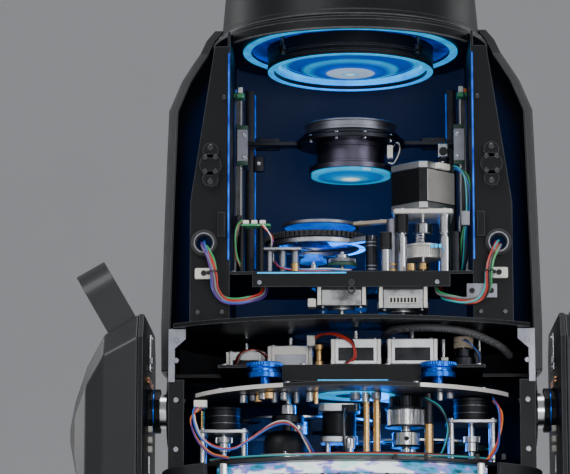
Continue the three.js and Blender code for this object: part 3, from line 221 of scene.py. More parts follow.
def circle(radius, count=48, centre=(0, 0)):
    """Points at equal steps of angle round a centre."""
    return arc(radius, np.arange(count) / count * TURN) + centre


def rounded(wide, deep, corner, steps=4, centre=(0, 0)):
    """Rectangle of half sizes wide and deep whose corners are quarter circles."""
    turn = (np.arange(4)[:, None] + np.linspace(0, 1, steps + 1)) * TURN / 4
    signs = np.array([[1, 1], [-1, 1], [-1, -1], [1, -1]])[:, None]
    arcs = signs * (wide - corner, deep - corner) + corner * np.stack([np.cos(turn), np.sin(turn)], -1)
    return arcs.reshape(-1, 2) + centre


def toothed(radius, deep, teeth):
    """Outline of a gear: each tooth is a flat tip at the radius and a flat gap deep below it."""
    pitch = (np.arange(teeth)[:, None] + np.array([0.0, 0.18, 0.5, 0.68])) / teeth * TURN
    reach = np.array([radius - deep, radius, radius, radius - deep])
    return np.stack([reach * np.cos(pitch), reach * np.sin(pitch)], -1).reshape(-1, 2)


def shift(outline, by):
    """Moves each corner to the left of the walk, along the mean of its two edge normals, so both move alike."""
    ahead = np.roll(outline, -1, 0) - outline
    ahead = ahead / np.maximum(np.linalg.norm(ahead, axis=1, keepdims=True), 1e-9)
    normal = np.stack([-ahead[:, 1], ahead[:, 0]], -1)
    before = np.roll(normal, 1, 0)
    return outline + by * (normal + before) / np.maximum(1 + (normal * before).sum(1, keepdims=True), 0.3)


def raised(outline, low, high, edge):
    """Rows of an outline carried from low to high, drawn in by edge at both ends."""
    levels = [(low, edge), (low + edge, 0), (high - edge, 0), (high, edge)]
    return np.stack([lift(shift(outline, inset), z) for z, inset in levels])


def slab(outline, low, high, edge=0.4):
    """A solid between two heights with the given outline and small chamfers."""
    return skin(raised(np.asarray(outline, float), low, high, edge))


def bent_bar(outer, inner, turn, low, high, edge, squash=1):
    """A bar between two radii that follows part of a circle."""
    return slab(np.concatenate([arc(outer, turn, squash), arc(inner, turn, squash)[::-1]]), low, high, edge)


def plate(outline, low, high, holes=(), edge=0.4):
    """A flat plate with holes: walls rise from each outline, and triangles fill both faces between them."""
    loops = [np.asarray(outline, float)] + [np.asarray(hole, float)[::-1] for hole in holes]
    flat = np.concatenate([shift(loop, edge) for loop in loops])
    shapes = [
        (raised(loop, low, high, edge).reshape(-1, 3), [between(np.arange(4 * len(loop)).reshape(4, -1))])
        for loop in loops
    ]
    bounds = np.cumsum([0] + [len(loop) for loop in loops])
    polygons = [[Vector((x, y, 0)) for x, y in flat[a:b]] for a, b in zip(bounds[:-1], bounds[1:])]
    faces = np.array(geometry.tessellate_polygon(polygons))
    corner = flat[faces]
    area = np.cross(corner[:, 1] - corner[:, 0], corner[:, 2] - corner[:, 0])
    faces = np.where(area[:, None] < 0, faces[:, ::-1], faces)
    shapes += [(lift(flat, low), [faces[:, ::-1]]), (lift(flat, high), [faces])]
    return outward(weld(*join(*shapes)))


def turned(profile, count=48, centre=(0, 0)):
    """A profile of (radius, height) points carried round an upright line; points on the line melt into one pole."""
    profile = np.asarray(profile, float)
    turn = np.arange(count) / count * TURN
    x = profile[:, 0] * np.cos(turn)[:, None] + centre[0]
    y = profile[:, 0] * np.sin(turn)[:, None] + centre[1]
    return skin(np.stack([x, y, np.broadcast_to(profile[:, 1], x.shape)], -1), True)


def rod(radius, low, high, centre=(0, 0), count=20, edge=0.3):
    """A round bar with a small chamfer at both ends."""
    side = [(radius - edge, low), (radius, low + edge), (radius, high - edge), (radius - edge, high)]
    return turned([(0, low), *side, (0, high)], count, centre)


def pipe(outer, inner, low, high, centre=(0, 0), count=48, edge=0.3):
    """A round wall between two radii with its four rims chamfered."""
    outside = [(inner + edge, low), (outer - edge, low), (outer, low + edge), (outer, high - edge)]
    inside = [(outer - edge, high), (inner + edge, high), (inner, high - edge), (inner, low + edge)]
    return turned(outside + inside, count, centre)


def block(low, high, corner=0.6, edge=0.4, steps=2):
    """A box between two corners, its upright edges rounded and its ends chamfered."""
    low, high = np.minimum(low, high).astype(float), np.maximum(low, high).astype(float)
    half, middle = (high - low) / 2, (high + low) / 2
    corner = min(corner, half[0] * 0.9, half[1] * 0.9)
    edge = min(edge, *(half * 0.45))
    return slab(rounded(half[0], half[1], corner, steps, middle[:2]), low[2], high[2], edge)


def smooth(points, steps=8):
    """Catmull-Rom curve: each stretch is the cubic that leaves and arrives along its neighbours' chord."""
    p = np.asarray(points, float)
    p = np.vstack([2 * p[:1] - p[1:2], p, 2 * p[-1:] - p[-2:-1]])
    t = (np.arange(steps) / steps)[None, :, None]
    a, b, c, d = (q[:, None] for q in (p[:-3], p[1:-2], p[2:-1], p[3:]))
    curve = 0.5 * (2 * b + (c - a) * t + (2 * a - 5 * b + 4 * c - d) * t**2 + (3 * b - a - 3 * c + d) * t**3)
    return np.vstack([curve.reshape(-1, p.shape[1]), p[-2]])


def tube(path, radius, count=8):
    """A round wire: a circle stands square to the path, turned from the direction in which the path bends least."""
    path = np.asarray(path, float)
    ahead = np.gradient(path, axis=0)
    ahead /= np.linalg.norm(ahead, axis=1, keepdims=True)
    steady = np.linalg.svd(ahead)[2][-1] if len(path) > 2 else np.linalg.svd(ahead[:1])[2][-1]
    side = steady - (ahead @ steady)[:, None] * ahead
    side /= np.maximum(np.linalg.norm(side, axis=1, keepdims=True), 1e-6)
    up = np.cross(ahead, side)
    turn = np.arange(count) / count * TURN
    return skin(path[:, None] + radius * (np.cos(turn)[:, None] * side[:, None] + np.sin(turn)[:, None] * up[:, None]))


def strap(path, outline, across):
    """A flat outline of (across, outwards) points carried along a path; outwards is square to both directions."""
    across = np.asarray(across, float)
    ahead = np.gradient(path, axis=0)
    ahead /= np.linalg.norm(ahead, axis=1, keepdims=True)
    out = np.cross(ahead, across)
    return skin(path[:, None] + outline[:, :1] * across + outline[:, 1:] * out[:, None])


def cap_screw(radius=1.5, high=1.2):
    """Head of a cap screw: circles up its side, then a six-sided socket sunk in its top."""
    turn = np.arange(24) / 24 * TURN
    ring = np.stack([np.cos(turn), np.sin(turn)], -1)
    six = ring * (math.cos(TURN / 12) / np.cos(np.mod(turn, TURN / 6) - TURN / 12))[:, None]
    levels = [(1, 0, ring), (1, high * 0.8, ring), (0.85, high, ring), (SOCKET, high, six), (SOCKET, high * 0.35, six)]
    return skin(np.stack([lift(row * radius * reach, z) for reach, z, row in levels]))


def screws(places, along="front", radius=2.1, high=1.3):
    """Cap screws standing on the given points."""
    return copies(lay(cap_screw(radius, high), (0, 0, 0), along), places)


def lens(radius, rim, edge, crown, low, steps=16, count=96):
    """Glass bowed on both faces: the bow falls with the square of the distance from the middle, down to a flat rim."""
    share = np.linspace(0, 1, steps)
    bow = crown * (1 - share**2)
    reach = (radius - rim) * share
    under = np.stack([reach, low - bow], -1)
    over = np.stack([reach, low + edge + bow], -1)[::-1]
    return turned(np.concatenate([under, [(radius, low), (radius, low + edge)], over]), count)


def gear(radius, deep, teeth, low, high, centre=(0, 0)):
    """A toothed disc."""
    return slab(toothed(radius, deep, teeth) + centre, low, high, 0.25)


def around(x, y, half, z):
    """The four corners of a square about an upright line."""
    return [(x + dx * half, y + dy * half, z) for dx in (-1, 1) for dy in (-1, 1)]


def stepper(x, y, size, low, high, shaft=1, spin=0):
    """Square stepper motor: dark laminated body between two satin caps, with a boss and a shaft at one end."""
    half = size / 2
    cut = rounded(half, half, size * 0.12, 1, (x, y))
    slim = rounded(half - 0.5, half - 0.5, size * 0.115, 1, (x, y))
    notched = rounded(half - 1.3, half - 1.3, size * 0.1, 1, (x, y))
    end, reach = (high, (high, high + 1.6, high + 9)) if shaft > 0 else (low, (low - 1.6, low, low - 9))
    sheets = [slab(cut, z, z + 0.5, 0.1) for z in np.arange(low + 6.4, high - 6.6, 1.5)]
    caps = [slab(cut, low, low + 6, 0.6), slab(cut, high - 6, high, 0.6), slab(notched, high - 7.4, high - 6, 0.1)]
    heads = screws(around(x, y, half - size * 0.13, end), "z" if shaft > 0 else "down", 1.7, 1.1)
    rows = [
        ("motor lamination", slab(slim, low + 5.8, high - 5.8, 0.1), *sheets),
        ("motor cap", *caps, rod(half * 0.52, *sorted(reach[:2]), (x, y), 32)),
        ("bright steel", rod(2.5, *sorted(reach[::2]), (x, y), 16), heads),
    ]
    return [(row[0], *[swung(shape, spin, (x, y)) for shape in row[1:]]) for row in rows]


def wire(hues):
    """Names of the finishes of wires in the given hues."""
    return ["wire " + hue for hue in hues.split()]


def ribbon(route, finishes, radius=0.85, apart=1.7, steps=8):
    """Wires side by side: each but the first is pushed off the route along a line that turns slowly."""
    middle = smooth(route, steps)
    turn = np.linspace(0, 5, len(middle))
    rows = []
    for i, name in enumerate(finishes):
        ring = TURN * i / len(finishes)
        push = np.column_stack([np.cos(turn + ring), 0.5 * np.sin(turn * 1.3 + ring), np.sin(turn + ring)])
        rows.append((name, tube(middle + push * (apart if i else 0), radius)))
    return rows


# ---------------------------------------------------------------- pieces


def place(name, data):
    """A new object of the scene around a mesh, a lamp or a camera."""
    made = bpy.data.objects.new(name, data)
    bpy.context.scene.collection.objects.link(made)
    return made


def dress(name, parts, body="head", replaces=(), sharp=32, bevel=0.0):
    """One mesh object out of (finish, shape, shape ...) rows in millimetres, riding on a CAD body."""
    shapes = [join(*row[1:]) for row in parts]
    points, faces = join(*shapes)
    mesh = bpy.data.meshes.new(name)
    mesh.vertices.add(len(points))
    mesh.vertices.foreach_set("co", (points * MM).astype(np.float32).ravel())
    sizes = np.concatenate([np.full(len(face), face.shape[1]) for face in faces])
    corners = np.concatenate([face.ravel() for face in faces])
    number = np.concatenate([np.full(sum(len(face) for face in own), i) for i, (_, own) in enumerate(shapes)])
    mesh.loops.add(len(corners))
    mesh.loops.foreach_set("vertex_index", corners.astype(np.int32))
    mesh.polygons.add(len(sizes))
    mesh.polygons.foreach_set("loop_start", (np.cumsum(sizes) - sizes).astype(np.int32))
    mesh.polygons.foreach_set("material_index", number.astype(np.int32))
    mesh.update(calc_edges=True)
    mesh.validate()
    mesh.shade_smooth()
    mesh.set_sharp_from_angle(angle=math.radians(sharp))
    for row in parts:
        mesh.materials.append(finish(row[0]))
    made = place(name, mesh)
    if bevel:
        soft = made.modifiers.new("Soft edges", "BEVEL")
        soft.width, soft.segments = bevel * MM, 3
        soft.limit_method, soft.angle_limit = "ANGLE", math.radians(16)
        soft.harden_normals = True
    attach(made, body)
    if replaces:
        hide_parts(*replaces)


def coat(name, *nodes):
    """Gives CAD nodes that stay in view a finish of this file."""
    for node in nodes:
        mesh = frame["nodes"][node].data
        mesh.materials.clear()
        mesh.materials.append(finish(name))


# ---------------------------------------------------------------- finishes


def fill(tree, node, inputs):
    """Gives each input of a node its value, or a link where the value is another node's socket."""
    for name, value in inputs.items():
        socket = node.inputs[name]
        if isinstance(value, bpy.types.NodeSocket):
            tree.links.new(value, socket)
        else:
            socket.default_value = value


def link(tree, kind, inputs=None, **settings):
    """A shader node with its settings made and its inputs filled."""
    node = tree.nodes.new(kind)
    for name, value in settings.items():
        setattr(node, name, value)
    fill(tree, node, inputs or {})
    return node


def spot(tree):
    """Object coordinates."""
    return link(tree, "ShaderNodeTexCoord").outputs["Object"]


def noise(tree, where, scale, detail, rough=0.5):
    """A noise texture's value at a place."""
    inputs = {"Vector": where, "Scale": scale, "Detail": detail, "Roughness": rough}
    return link(tree, "ShaderNodeTexNoise", inputs).outputs["Fac"]


def ranged(tree, value, low, high, to_low=0.0, to_high=1.0):
    """A value stretched from one range to another."""
    inputs = {"Value": value, "From Min": low, "From Max": high, "To Min": to_low, "To Max": to_high}
    return link(tree, "ShaderNodeMapRange", inputs).outputs["Result"]


def maths(tree, operation, *values, clamp=False):
    """The result of an operation on numbers or sockets."""
    return link(tree, "ShaderNodeMath", dict(enumerate(values)), operation=operation, use_clamp=clamp).outputs[0]


def scaled(tree, where, by):
    """A vector times another, or times a single value."""
    if isinstance(by, tuple) or by.type == "VECTOR":
        return link(tree, "ShaderNodeVectorMath", {0: where, 1: by}, operation="MULTIPLY").outputs[0]
    return link(tree, "ShaderNodeVectorMath", {0: where, "Scale": by}, operation="SCALE").outputs[0]


def blend(tree, share, one, two):
    """A colour between two others."""
    return link(tree, "ShaderNodeMix", {"Factor": share, "A": one, "B": two}, data_type="RGBA").outputs["Result"]


def ramp(tree, share, stops):
    """A row of (position, colour) stops read at a share."""
    node = link(tree, "ShaderNodeValToRGB", {"Fac": share})
    elements = node.color_ramp.elements
    elements[0].position, elements[1].position = stops[0][0], stops[-1][0]
    for position, colour in stops[1:-1]:
        elements.new(position).color = rgba(colour)
    elements[0].color, elements[-1].color = rgba(stops[0][1]), rgba(stops[-1][1])
    return node.outputs["Color"]


def rgba(colour, times=1, plus=0.0):
    """A colour with full alpha, its three values first multiplied and raised."""
    return (*[c * times + plus for c in colour[:3]], 1.0)


def group(name, inputs, fill_in):
    """The shader group of that name; fill_in makes its nodes the first time and returns its three outputs."""
    if name not in bpy.data.node_groups:
        tree = bpy.data.node_groups.new(name, "ShaderNodeTree")
        for label, kind, value in inputs:
            tree.interface.new_socket(label, in_out="INPUT", socket_type="NodeSocket" + kind).default_value = value
        for label, kind in (("Colour", "Color"), ("Roughness", "Float"), ("Height", "Float")):
            tree.interface.new_socket(label, in_out="OUTPUT", socket_type="NodeSocket" + kind)
        given, out = tree.nodes.new("NodeGroupInput").outputs, tree.nodes.new("NodeGroupOutput")
        fill(tree, out, dict(zip(("Colour", "Roughness", "Height"), fill_in(tree, given))))
    return bpy.data.node_groups[name]


def coated_surface(tree, given):
    """Grain, mottle and lighter edges of a coat, which stand for wear and for a painted highlight where edges catch the
    light: an edge is where the rounded normal leans away from the flat one.
    """
    where = spot(tree)
    grain = noise(tree, where, given["Grain Scale"], 2.0, 0.6)
    slow = noise(tree, where, 45.0, 4.0, 0.6)
    rub = noise(tree, where, 160.0, 3.0, 0.7)
    bent = link(tree, "ShaderNodeBevel", {"Radius": 0.0009}, samples=4).outputs["Normal"]
    flat = link(tree, "ShaderNodeNewGeometry").outputs["Normal"]
    agree = link(tree, "ShaderNodeVectorMath", {0: bent, 1: flat}, operation="DOT_PRODUCT").outputs["Value"]
    lean = ranged(tree, agree, 0.995, 0.86)
    worn = ranged(tree, rub, 0.3, 0.6, 0.45)
    # Edge mask: wear, and painted highlight along edges that catch the light
    edge = maths(tree, "MULTIPLY", maths(tree, "MULTIPLY", lean, worn), given["Worn And Lit Edge Amount"], clamp=True)
    shade = ranged(tree, slow, 0.3, 0.7, 1.0, 0.6)
    less = link(tree, "ShaderNodeMix", {"Factor": given["Mottle"], "A": 1.0, "B": shade}, data_type="FLOAT").outputs[0]
    mixed = blend(tree, edge, scaled(tree, given["Colour"], less), given["Worn And Lit Edge Colour"])
    spread = maths(tree, "SUBTRACT", slow, 0.5)
    return mixed, maths(tree, "MULTIPLY_ADD", spread, given["Rough Spread"], given["Rough"]), grain


def drawn_metal(tree, given):
    """Fine lines of drawn or milled metal: noise stretched along one axis, with slow smudges over it."""
    where = spot(tree)
    lines = noise(tree, scaled(tree, where, given["Stretch"]), 1.0, 3.0, 0.65)
    mask = ranged(tree, noise(tree, where, 70.0, 4.0, 0.55), 0.42, 0.68)
    amount = maths(tree, "MULTIPLY", mask, given["Smudge"])
    line = maths(tree, "MULTIPLY_ADD", lines, 0.3, amount, clamp=True)
    mixed = blend(tree, line, given["Colour"], given["Dark Colour"])
    return mixed, maths(tree, "MULTIPLY_ADD", line, given["Rough Spread"], given["Rough"]), lines


def bare_material(name):
    """A new material and its node tree."""
    material = bpy.data.materials.new(name)
    material.use_nodes = True
    return material, material.node_tree


def shaded(material, sockets):
    """A material whose shader has the given values and links."""
    fill(material.node_tree, material.node_tree.nodes["Principled BSDF"], sockets)
    return material


def with_group(name, effect, values, depth, constants):
    """A material with colour, roughness and bump from a shared group, and plain numbers for the other sockets."""
    material, tree = bare_material(name)
    node = link(tree, "ShaderNodeGroup", node_tree=effect)
    fill(tree, node, values)
    height = {"Height": node.outputs["Height"], "Strength": 0.35, "Distance": depth}
    bump = link(tree, "ShaderNodeBump", height).outputs["Normal"]
    sockets = {"Base Color": node.outputs["Colour"], "Roughness": node.outputs["Roughness"], "Normal": bump}
    return shaded(material, {**sockets, **constants})


def coated(name, colour, edge, amount=0.6, rough=0.5, grain=2500, depth=0.00006, mottle=0.25, constants=None):
    """Powder coat, moulded plastic, rubber or paint."""
    effect = group("Coated surface", [
        ("Colour", "Color", (0.02, 0.02, 0.02, 1)), ("Worn And Lit Edge Colour", "Color", (0.2, 0.2, 0.2, 1)),
        ("Worn And Lit Edge Amount", "Float", 0.6), ("Grain Scale", "Float", 2500.0), ("Mottle", "Float", 0.25),
        ("Rough", "Float", 0.5), ("Rough Spread", "Float", 0.12),
    ], coated_surface)
    values = {
        "Colour": rgba(colour), "Worn And Lit Edge Colour": rgba(edge), "Worn And Lit Edge Amount": amount, "Grain Scale": grain,
        "Rough": rough, "Mottle": mottle,
    }
    return with_group(name, effect, values, depth, constants or {})


def metal(name, colour, dark, rough=0.25, stretch=(40, 1600, 1600), smudge=0.35):
    """Bare, plated or anodised metal."""
    effect = group("Drawn metal", [
        ("Colour", "Color", (0.6, 0.6, 0.6, 1)), ("Dark Colour", "Color", (0.3, 0.3, 0.3, 1)),
        ("Stretch", "Vector", (40, 1600, 1600)), ("Rough", "Float", 0.25), ("Rough Spread", "Float", 0.25),
        ("Smudge", "Float", 0.35),
    ], drawn_metal)
    values = {"Colour": rgba(colour), "Dark Colour": rgba(dark), "Stretch": stretch, "Rough": rough, "Smudge": smudge}
    return with_group(name, effect, values, 0.00002, {"Metallic": 1.0})


def glowing(name, colour, strength, deep):
    """Painted light: emission, made uneven by a slow noise, on parts that are no lamps; it stands for the head's blue
    light falling on rings, edges, strips and a gear, and for light shining through the frost disc.
    """
    material, tree = bare_material(name)
    slow = noise(tree, spot(tree), 60.0, 3.0)
    mixed = blend(tree, ranged(tree, slow, 0.35, 0.65), rgba(colour), rgba(deep))
    sockets = {"Emission Color": mixed, "Base Color": mixed, "Emission Strength": strength, "Roughness": 0.25}
    return shaded(material, sockets)


# Colours of a lit lens from its axis to its rim, and of the lamp's light from dark to bright
FRONT_RINGS = [
    (0.0, (0.8, 1.0, 1.0)), (0.05, (0.5, 0.9, 1.0)), (0.09, (0.1, 0.5, 0.9)), (0.13, (0.42, 0.55, 0.72)),
    (0.3, (0.36, 0.5, 0.7)), (0.33, (0.0, 0.09, 0.55)), (0.46, (0.0, 0.05, 0.36)), (0.55, (0.0, 0.26, 0.6)),
    (0.6, (0.0, 0.3, 0.6)), (0.65, (0.0, 0.04, 0.3)), (0.8, (0.0, 0.05, 0.32)), (0.86, (0.0, 0.34, 0.66)),
    (0.9, (0.0, 0.2, 0.5)), (0.94, (0.1, 0.5, 0.75)), (1.0, (0.02, 0.4, 0.68)),
]
ZOOM_RINGS = [
    (0.0, (1.0, 1.0, 1.0)), (0.16, (0.8, 1.0, 1.0)), (0.28, (0.04, 0.4, 0.68)), (0.5, (0.0, 0.2, 0.5)),
    (0.78, (0.0, 0.12, 0.42)), (0.88, (0.0, 0.34, 0.64)), (1.0, (0.0, 0.32, 0.6)),
]
LAMP_STOPS = [
    (0.32, (0.01, 0.08, 0.1)), (0.42, (0.02, 0.3, 0.55)), (0.49, (0.3, 0.22, 0.7)), (0.53, (0.85, 0.9, 1.0)),
    (0.58, (0.9, 1.0, 1.0)), (0.72, (0.1, 0.8, 0.75)),
]


def lamp_light(name):
    """Light of the lamp through the diffuser: a slow noise runs from dark teal through cyan and lavender to white."""
    material, tree = bare_material(name)
    slow = noise(tree, scaled(tree, spot(tree), (1, 1, 2.6)), 34.0, 4.0, 0.6)
    light = ramp(tree, slow, LAMP_STOPS)
    return shaded(material, {"Emission Color": light, "Base Color": light, "Emission Strength": 0.95, "Roughness": 0.3})


def lens_glass(name, stops, radius):
    """Lit lens: rings of light and dark follow the distance from the axis, and a slow noise makes them uneven."""
    material, tree = bare_material(name)
    where = spot(tree)
    split = link(tree, "ShaderNodeSeparateXYZ", {"Vector": where}).outputs
    flat = link(tree, "ShaderNodeCombineXYZ", {"X": split["X"], "Y": split["Y"]}).outputs[0]
    reach = link(tree, "ShaderNodeVectorMath", {0: flat}, operation="LENGTH").outputs["Value"]
    rings = ramp(tree, maths(tree, "DIVIDE", reach, radius * MM), stops)
    uneven = ranged(tree, noise(tree, where, 25.0, 2.0), 0.3, 0.7, 0.7, 1.1)
    return shaded(material, {
        "Emission Color": scaled(tree, rings, uneven), "Base Color": (0, 0.01, 0.05, 1), "Emission Strength": 1.5,
        "Roughness": 0.04, "Coat Weight": 1.0,
    })


def clear(name, colour, rough=0.03, weight=1.0):
    """Clear or tinted glass with faint smears in its gloss."""
    material, tree = bare_material(name)
    slow = noise(tree, spot(tree), 40.0, 5.0, 0.7)
    smear = ranged(tree, slow, 0.4, 0.7, rough, rough + 0.12)
    tint = blend(tree, slow, rgba(colour), rgba(colour, 0.8))
    return shaded(material, {"Roughness": smear, "Base Color": tint, "Transmission Weight": weight, "IOR": 1.5})


def sheathed(name, *colour):
    """Insulation of a thin wire: soft gloss, slow change of shade."""
    # Lighter edge colour: wear, and painted highlight along the wire's edges
    edge = [min(1, c * 1.6 + 0.02) for c in colour]
    return coated(name, colour, edge, 0.2, 0.38, 1800, 0.00003, 0.5, {"Coat Weight": 0.2})


def braided(name, *colour):
    """Woven sleeve: two crossed sets of bands, over and under, in Object coordinates."""
    material, tree = bare_material(name)
    where = spot(tree)
    bands = {"Scale": 260.0, "Distortion": 0.4}
    one = link(tree, "ShaderNodeTexWave", {"Vector": where, **bands}, bands_direction="DIAGONAL").outputs["Fac"]
    back = scaled(tree, where, (-1, 1, 1))
    two = link(tree, "ShaderNodeTexWave", {"Vector": back, **bands}, bands_direction="DIAGONAL").outputs["Fac"]
    both = maths(tree, "MULTIPLY", one, two)
    mixed = blend(tree, both, rgba(colour), rgba(colour, 5, 0.03))
    bump = link(tree, "ShaderNodeBump", {"Height": both, "Strength": 0.6, "Distance": 0.0003}).outputs["Normal"]
    return shaded(material, {"Base Color": mixed, "Normal": bump, "Roughness": 0.5})


def board(name):
    """Circuit board: green lacquer over copper tracks, which are thin square cells, with white dots for its print."""
    material, tree = bare_material(name)
    where = spot(tree)
    track = link(tree, "ShaderNodeTexBrick", {
        "Vector": where, "Scale": 160.0, "Color1": (0.01, 0.12, 0.05, 1), "Color2": (0.012, 0.16, 0.07, 1),
        "Mortar": (0.05, 0.28, 0.12, 1), "Mortar Size": 0.08,
    }).outputs["Color"]
    dots = link(tree, "ShaderNodeTexVoronoi", {"Vector": where, "Scale": 330.0}).outputs["Distance"]
    mixed = blend(tree, ranged(tree, dots, 0.16, 0.12), track, (0.6, 0.62, 0.55, 1))
    return shaded(material, {"Base Color": mixed, "Roughness": 0.3})


def backdrop_paper(name, *colour):
    """Plain pale paper with a slow, weak change of shade."""
    material, tree = bare_material(name)
    mixed = blend(tree, noise(tree, spot(tree), 1.5, 2.0), rgba(colour), rgba(colour, 0.95))
    return shaded(material, {"Base Color": mixed, "Roughness": 0.9})


def finish(name):
    """The material of that name, made the first time that a piece asks for it."""
    if name in bpy.data.materials:
        return bpy.data.materials[name]
    tones = bpy.context.scene.beam_light_finishes
    powder, shell, knob = list(tones.powder), list(tones.shell), list(tones.knob)
    # Colours of the painted glow, from the Glow tone
    lit = lambda share, blue=1: [0.0, tones.glow[1] * share, tones.glow[2] * blue]
    recipes = {
        # colour, edge colour (wear and painted highlight), edge amount, roughness, scale of the grain, its depth,
        # mottle, other sockets
        coated: {
            "powder coat": (powder, (0.18, 0.19, 0.22), 0.6, 0.42, 2600, 0.00007, 0.25,
                {"Metallic": 0.05, "Specular IOR Level": 0.2}),
            "black cast": ([c * 0.7 for c in powder], (0.16, 0.17, 0.19), 0.6, 0.42, 1500, 0.0001, 0.25,
                {"Specular IOR Level": 0.3}),
            "shell plastic": (shell, (0.22, 0.23, 0.25), 0.35, 0.42, 3000, 0.00004, 0.2,
                {"Coat Weight": 0.1, "Specular IOR Level": 0.4}),
            "cover rim": ((0.03, 0.031, 0.034), (0.22, 0.23, 0.25), 0.6, 0.38, 2500, 0.00004),
            "cover inside": ((0.03, 0.031, 0.036), (0.02, 0.03, 0.05), 0.5, 0.6, 900, 0.0002, 0.25,
                {"Specular IOR Level": 0.1}),
            "rubber": ((0.012, 0.012, 0.013), (0.04, 0.04, 0.04), 0.3, 0.7, 1600, 0.0001),
            "pale cap": ((0.72, 0.7, 0.66), (0.95, 0.94, 0.9), 0.6, 0.3, 1500, 0.00005, 0.3, {"Metallic": 0.3}),
            "motor face": ((0.42, 0.4, 0.375), (0.6, 0.58, 0.55), 0.5, 0.4, 1200, 0.00006, 0.6, {"Metallic": 0.3}),
            "shell green": ((0.01, 0.05, 0.03), (0.05, 0.12, 0.09), 0.4, 0.4, 1500, 0.00005),
            "nylon": ((0.72, 0.7, 0.62), (0.9, 0.88, 0.8), 0.4, 0.4, 1500, 0.00005, 0.2, {"Subsurface Weight": 0.05}),
            "belt tan": ((0.34, 0.28, 0.2), (0.5, 0.43, 0.32), 0.5, 0.5, 1400, 0.0001, 0.4),
            "screen glass": ((0.004, 0.01, 0.02), (0.02, 0.05, 0.1), 0.2, 0.08, 300, 0.00001, 0.5,
                {"Coat Weight": 1.0}),
            "cable tie": ((0.015, 0.015, 0.016), (0.1, 0.1, 0.1), 0.4, 0.4, 1200, 0.00005),
        },
        # colour, darker colour of the lines, roughness, stretch of the noise, smudges
        metal: {
            "motor lamination": ((0.035, 0.037, 0.04), (0.008, 0.008, 0.01), 0.42, (60, 60, 2600)),
            "motor cap": ((0.55, 0.56, 0.57), (0.3, 0.31, 0.32), 0.32, (500, 500, 500), 0.3),
            "worn plate": ((0.4, 0.41, 0.42), (0.12, 0.12, 0.13), 0.4, (700, 700, 700), 0.8),
            "bright steel": ((0.72, 0.73, 0.75), (0.42, 0.43, 0.46), 0.16, (900, 900, 60), 0.25),
            "brushed plate": ((0.52, 0.54, 0.57), (0.27, 0.28, 0.31), 0.28, (30, 1700, 1700), 0.4),
            "satin grey": ((0.30, 0.31, 0.35), (0.13, 0.13, 0.17), 0.33, (1200, 1200, 120)),
            "purple grey": ((0.13, 0.12, 0.17), (0.05, 0.045, 0.075), 0.3, (1200, 1200, 200)),
            "black screw": ((0.11, 0.112, 0.12), (0.03, 0.03, 0.035), 0.22, (900, 900, 900), 0.3),
            "deck grey": ((0.1, 0.1, 0.105), (0.03, 0.03, 0.035), 0.36, (60, 1200, 1200), 0.5),
            "dark anodised": ((0.045, 0.047, 0.055), (0.012, 0.012, 0.016), 0.3, (1200, 1200, 200), 0.4),
            "blue anodised": (knob, [c * 0.35 for c in knob], 0.2, (1600, 1600, 90), 0.3),
            "brass": ((0.86, 0.55, 0.22), (0.42, 0.22, 0.07), 0.22, (900, 900, 80)),
            "copper": ((0.85, 0.36, 0.16), (0.4, 0.13, 0.05), 0.24, (900, 900, 80), 0.4),
            "mirror": ((0.9, 0.92, 0.95), (0.75, 0.77, 0.8), 0.06, (200, 200, 200), 0.1),
        },
        # colour, roughness, how much light passes
        clear: {
            "clear glass": ((0.92, 0.97, 1.0),), "blue glass": ((0.25, 0.6, 1.0), 0.08, 0.8),
            "pattern glass": ((0.1, 0.11, 0.12), 0.3, 0.2),
            **{"pane " + hue: (colour, 0.02, 0.9) for hue, colour in (
                ("red", (0.9, 0.02, 0.02)), ("yellow", (0.95, 0.75, 0.03)), ("green", (0.04, 0.7, 0.12)),
                ("cyan", (0.1, 0.75, 0.9)), ("blue", (0.02, 0.08, 0.85)), ("violet", (0.4, 0.05, 0.75)),
                ("orange", (0.95, 0.3, 0.02)),
            )},
        },
        # colour, strength, colour of the deeper spots, of painted light on parts that are no lamps
        glowing: {
            "frosted blue": (lit(0.5), 0.5, lit(0.2, 0.8)), "glow cyan": (lit(1.1), 0.62, lit(0.7, 0.8)),
            "glow deep": (lit(0.2), 0.12, (0.0, 0.02, 0.3)), "glow edge": (lit(0.4), 0.22, (0.0, 0.03, 0.4)),
            "glow blue": (lit(0.6), 0.4, (0.0, 0.06, 0.6)),
        },
        sheathed: {
            "wire red": (0.42, 0.02, 0.01), "wire blue": (0.01, 0.09, 0.45), "wire green": (0.02, 0.3, 0.09),
            "wire teal": (0.02, 0.35, 0.38), "wire purple": (0.08, 0.02, 0.2), "wire grey": (0.16, 0.17, 0.19),
            "wire orange": (0.7, 0.17, 0.02), "wire black": (0.012, 0.012, 0.014), "wire brown": (0.2, 0.07, 0.03),
            "wire white": (0.6, 0.6, 0.58),
        },
        lens_glass: {"front lens": (FRONT_RINGS, 66), "zoom lens": (ZOOM_RINGS, 34)},
        lamp_light: {"lamp light": ()},
        board: {"board": ()},
        braided: {"braid": (0.02, 0.02, 0.022)},
        backdrop_paper: {"paper": bpy.context.scene.beam_light_stage.paper},
    }
    for make, table in recipes.items():
        if name in table:
            return make(name, *table[name])
    raise KeyError(name)


# ---------------------------------------------------------------- settings


def colour_setting(name, description, default):
    """A colour property without alpha."""
    return bpy.props.FloatVectorProperty(
        name=name, description=description, subtype="COLOR", size=3, min=0, max=1, default=default)


class BeamLightFinishes(bpy.types.PropertyGroup):
    """Colours of the light's own finishes."""

    powder: colour_setting("Powder coat", "Colour of the black sheet metal", (0.0045, 0.005, 0.006))
    shell: colour_setting("Shell", "Colour of the moulded covers", (0.0125, 0.013, 0.015))
    knob: colour_setting("Blue screws", "Colour of the anodised screws", (0.02, 0.17, 0.85))
    # Tone of the painted light on parts that glow though they are no lamps
    glow: colour_setting("Glow", "Colour of the lit lenses", (0.0, 0.5, 1.0))


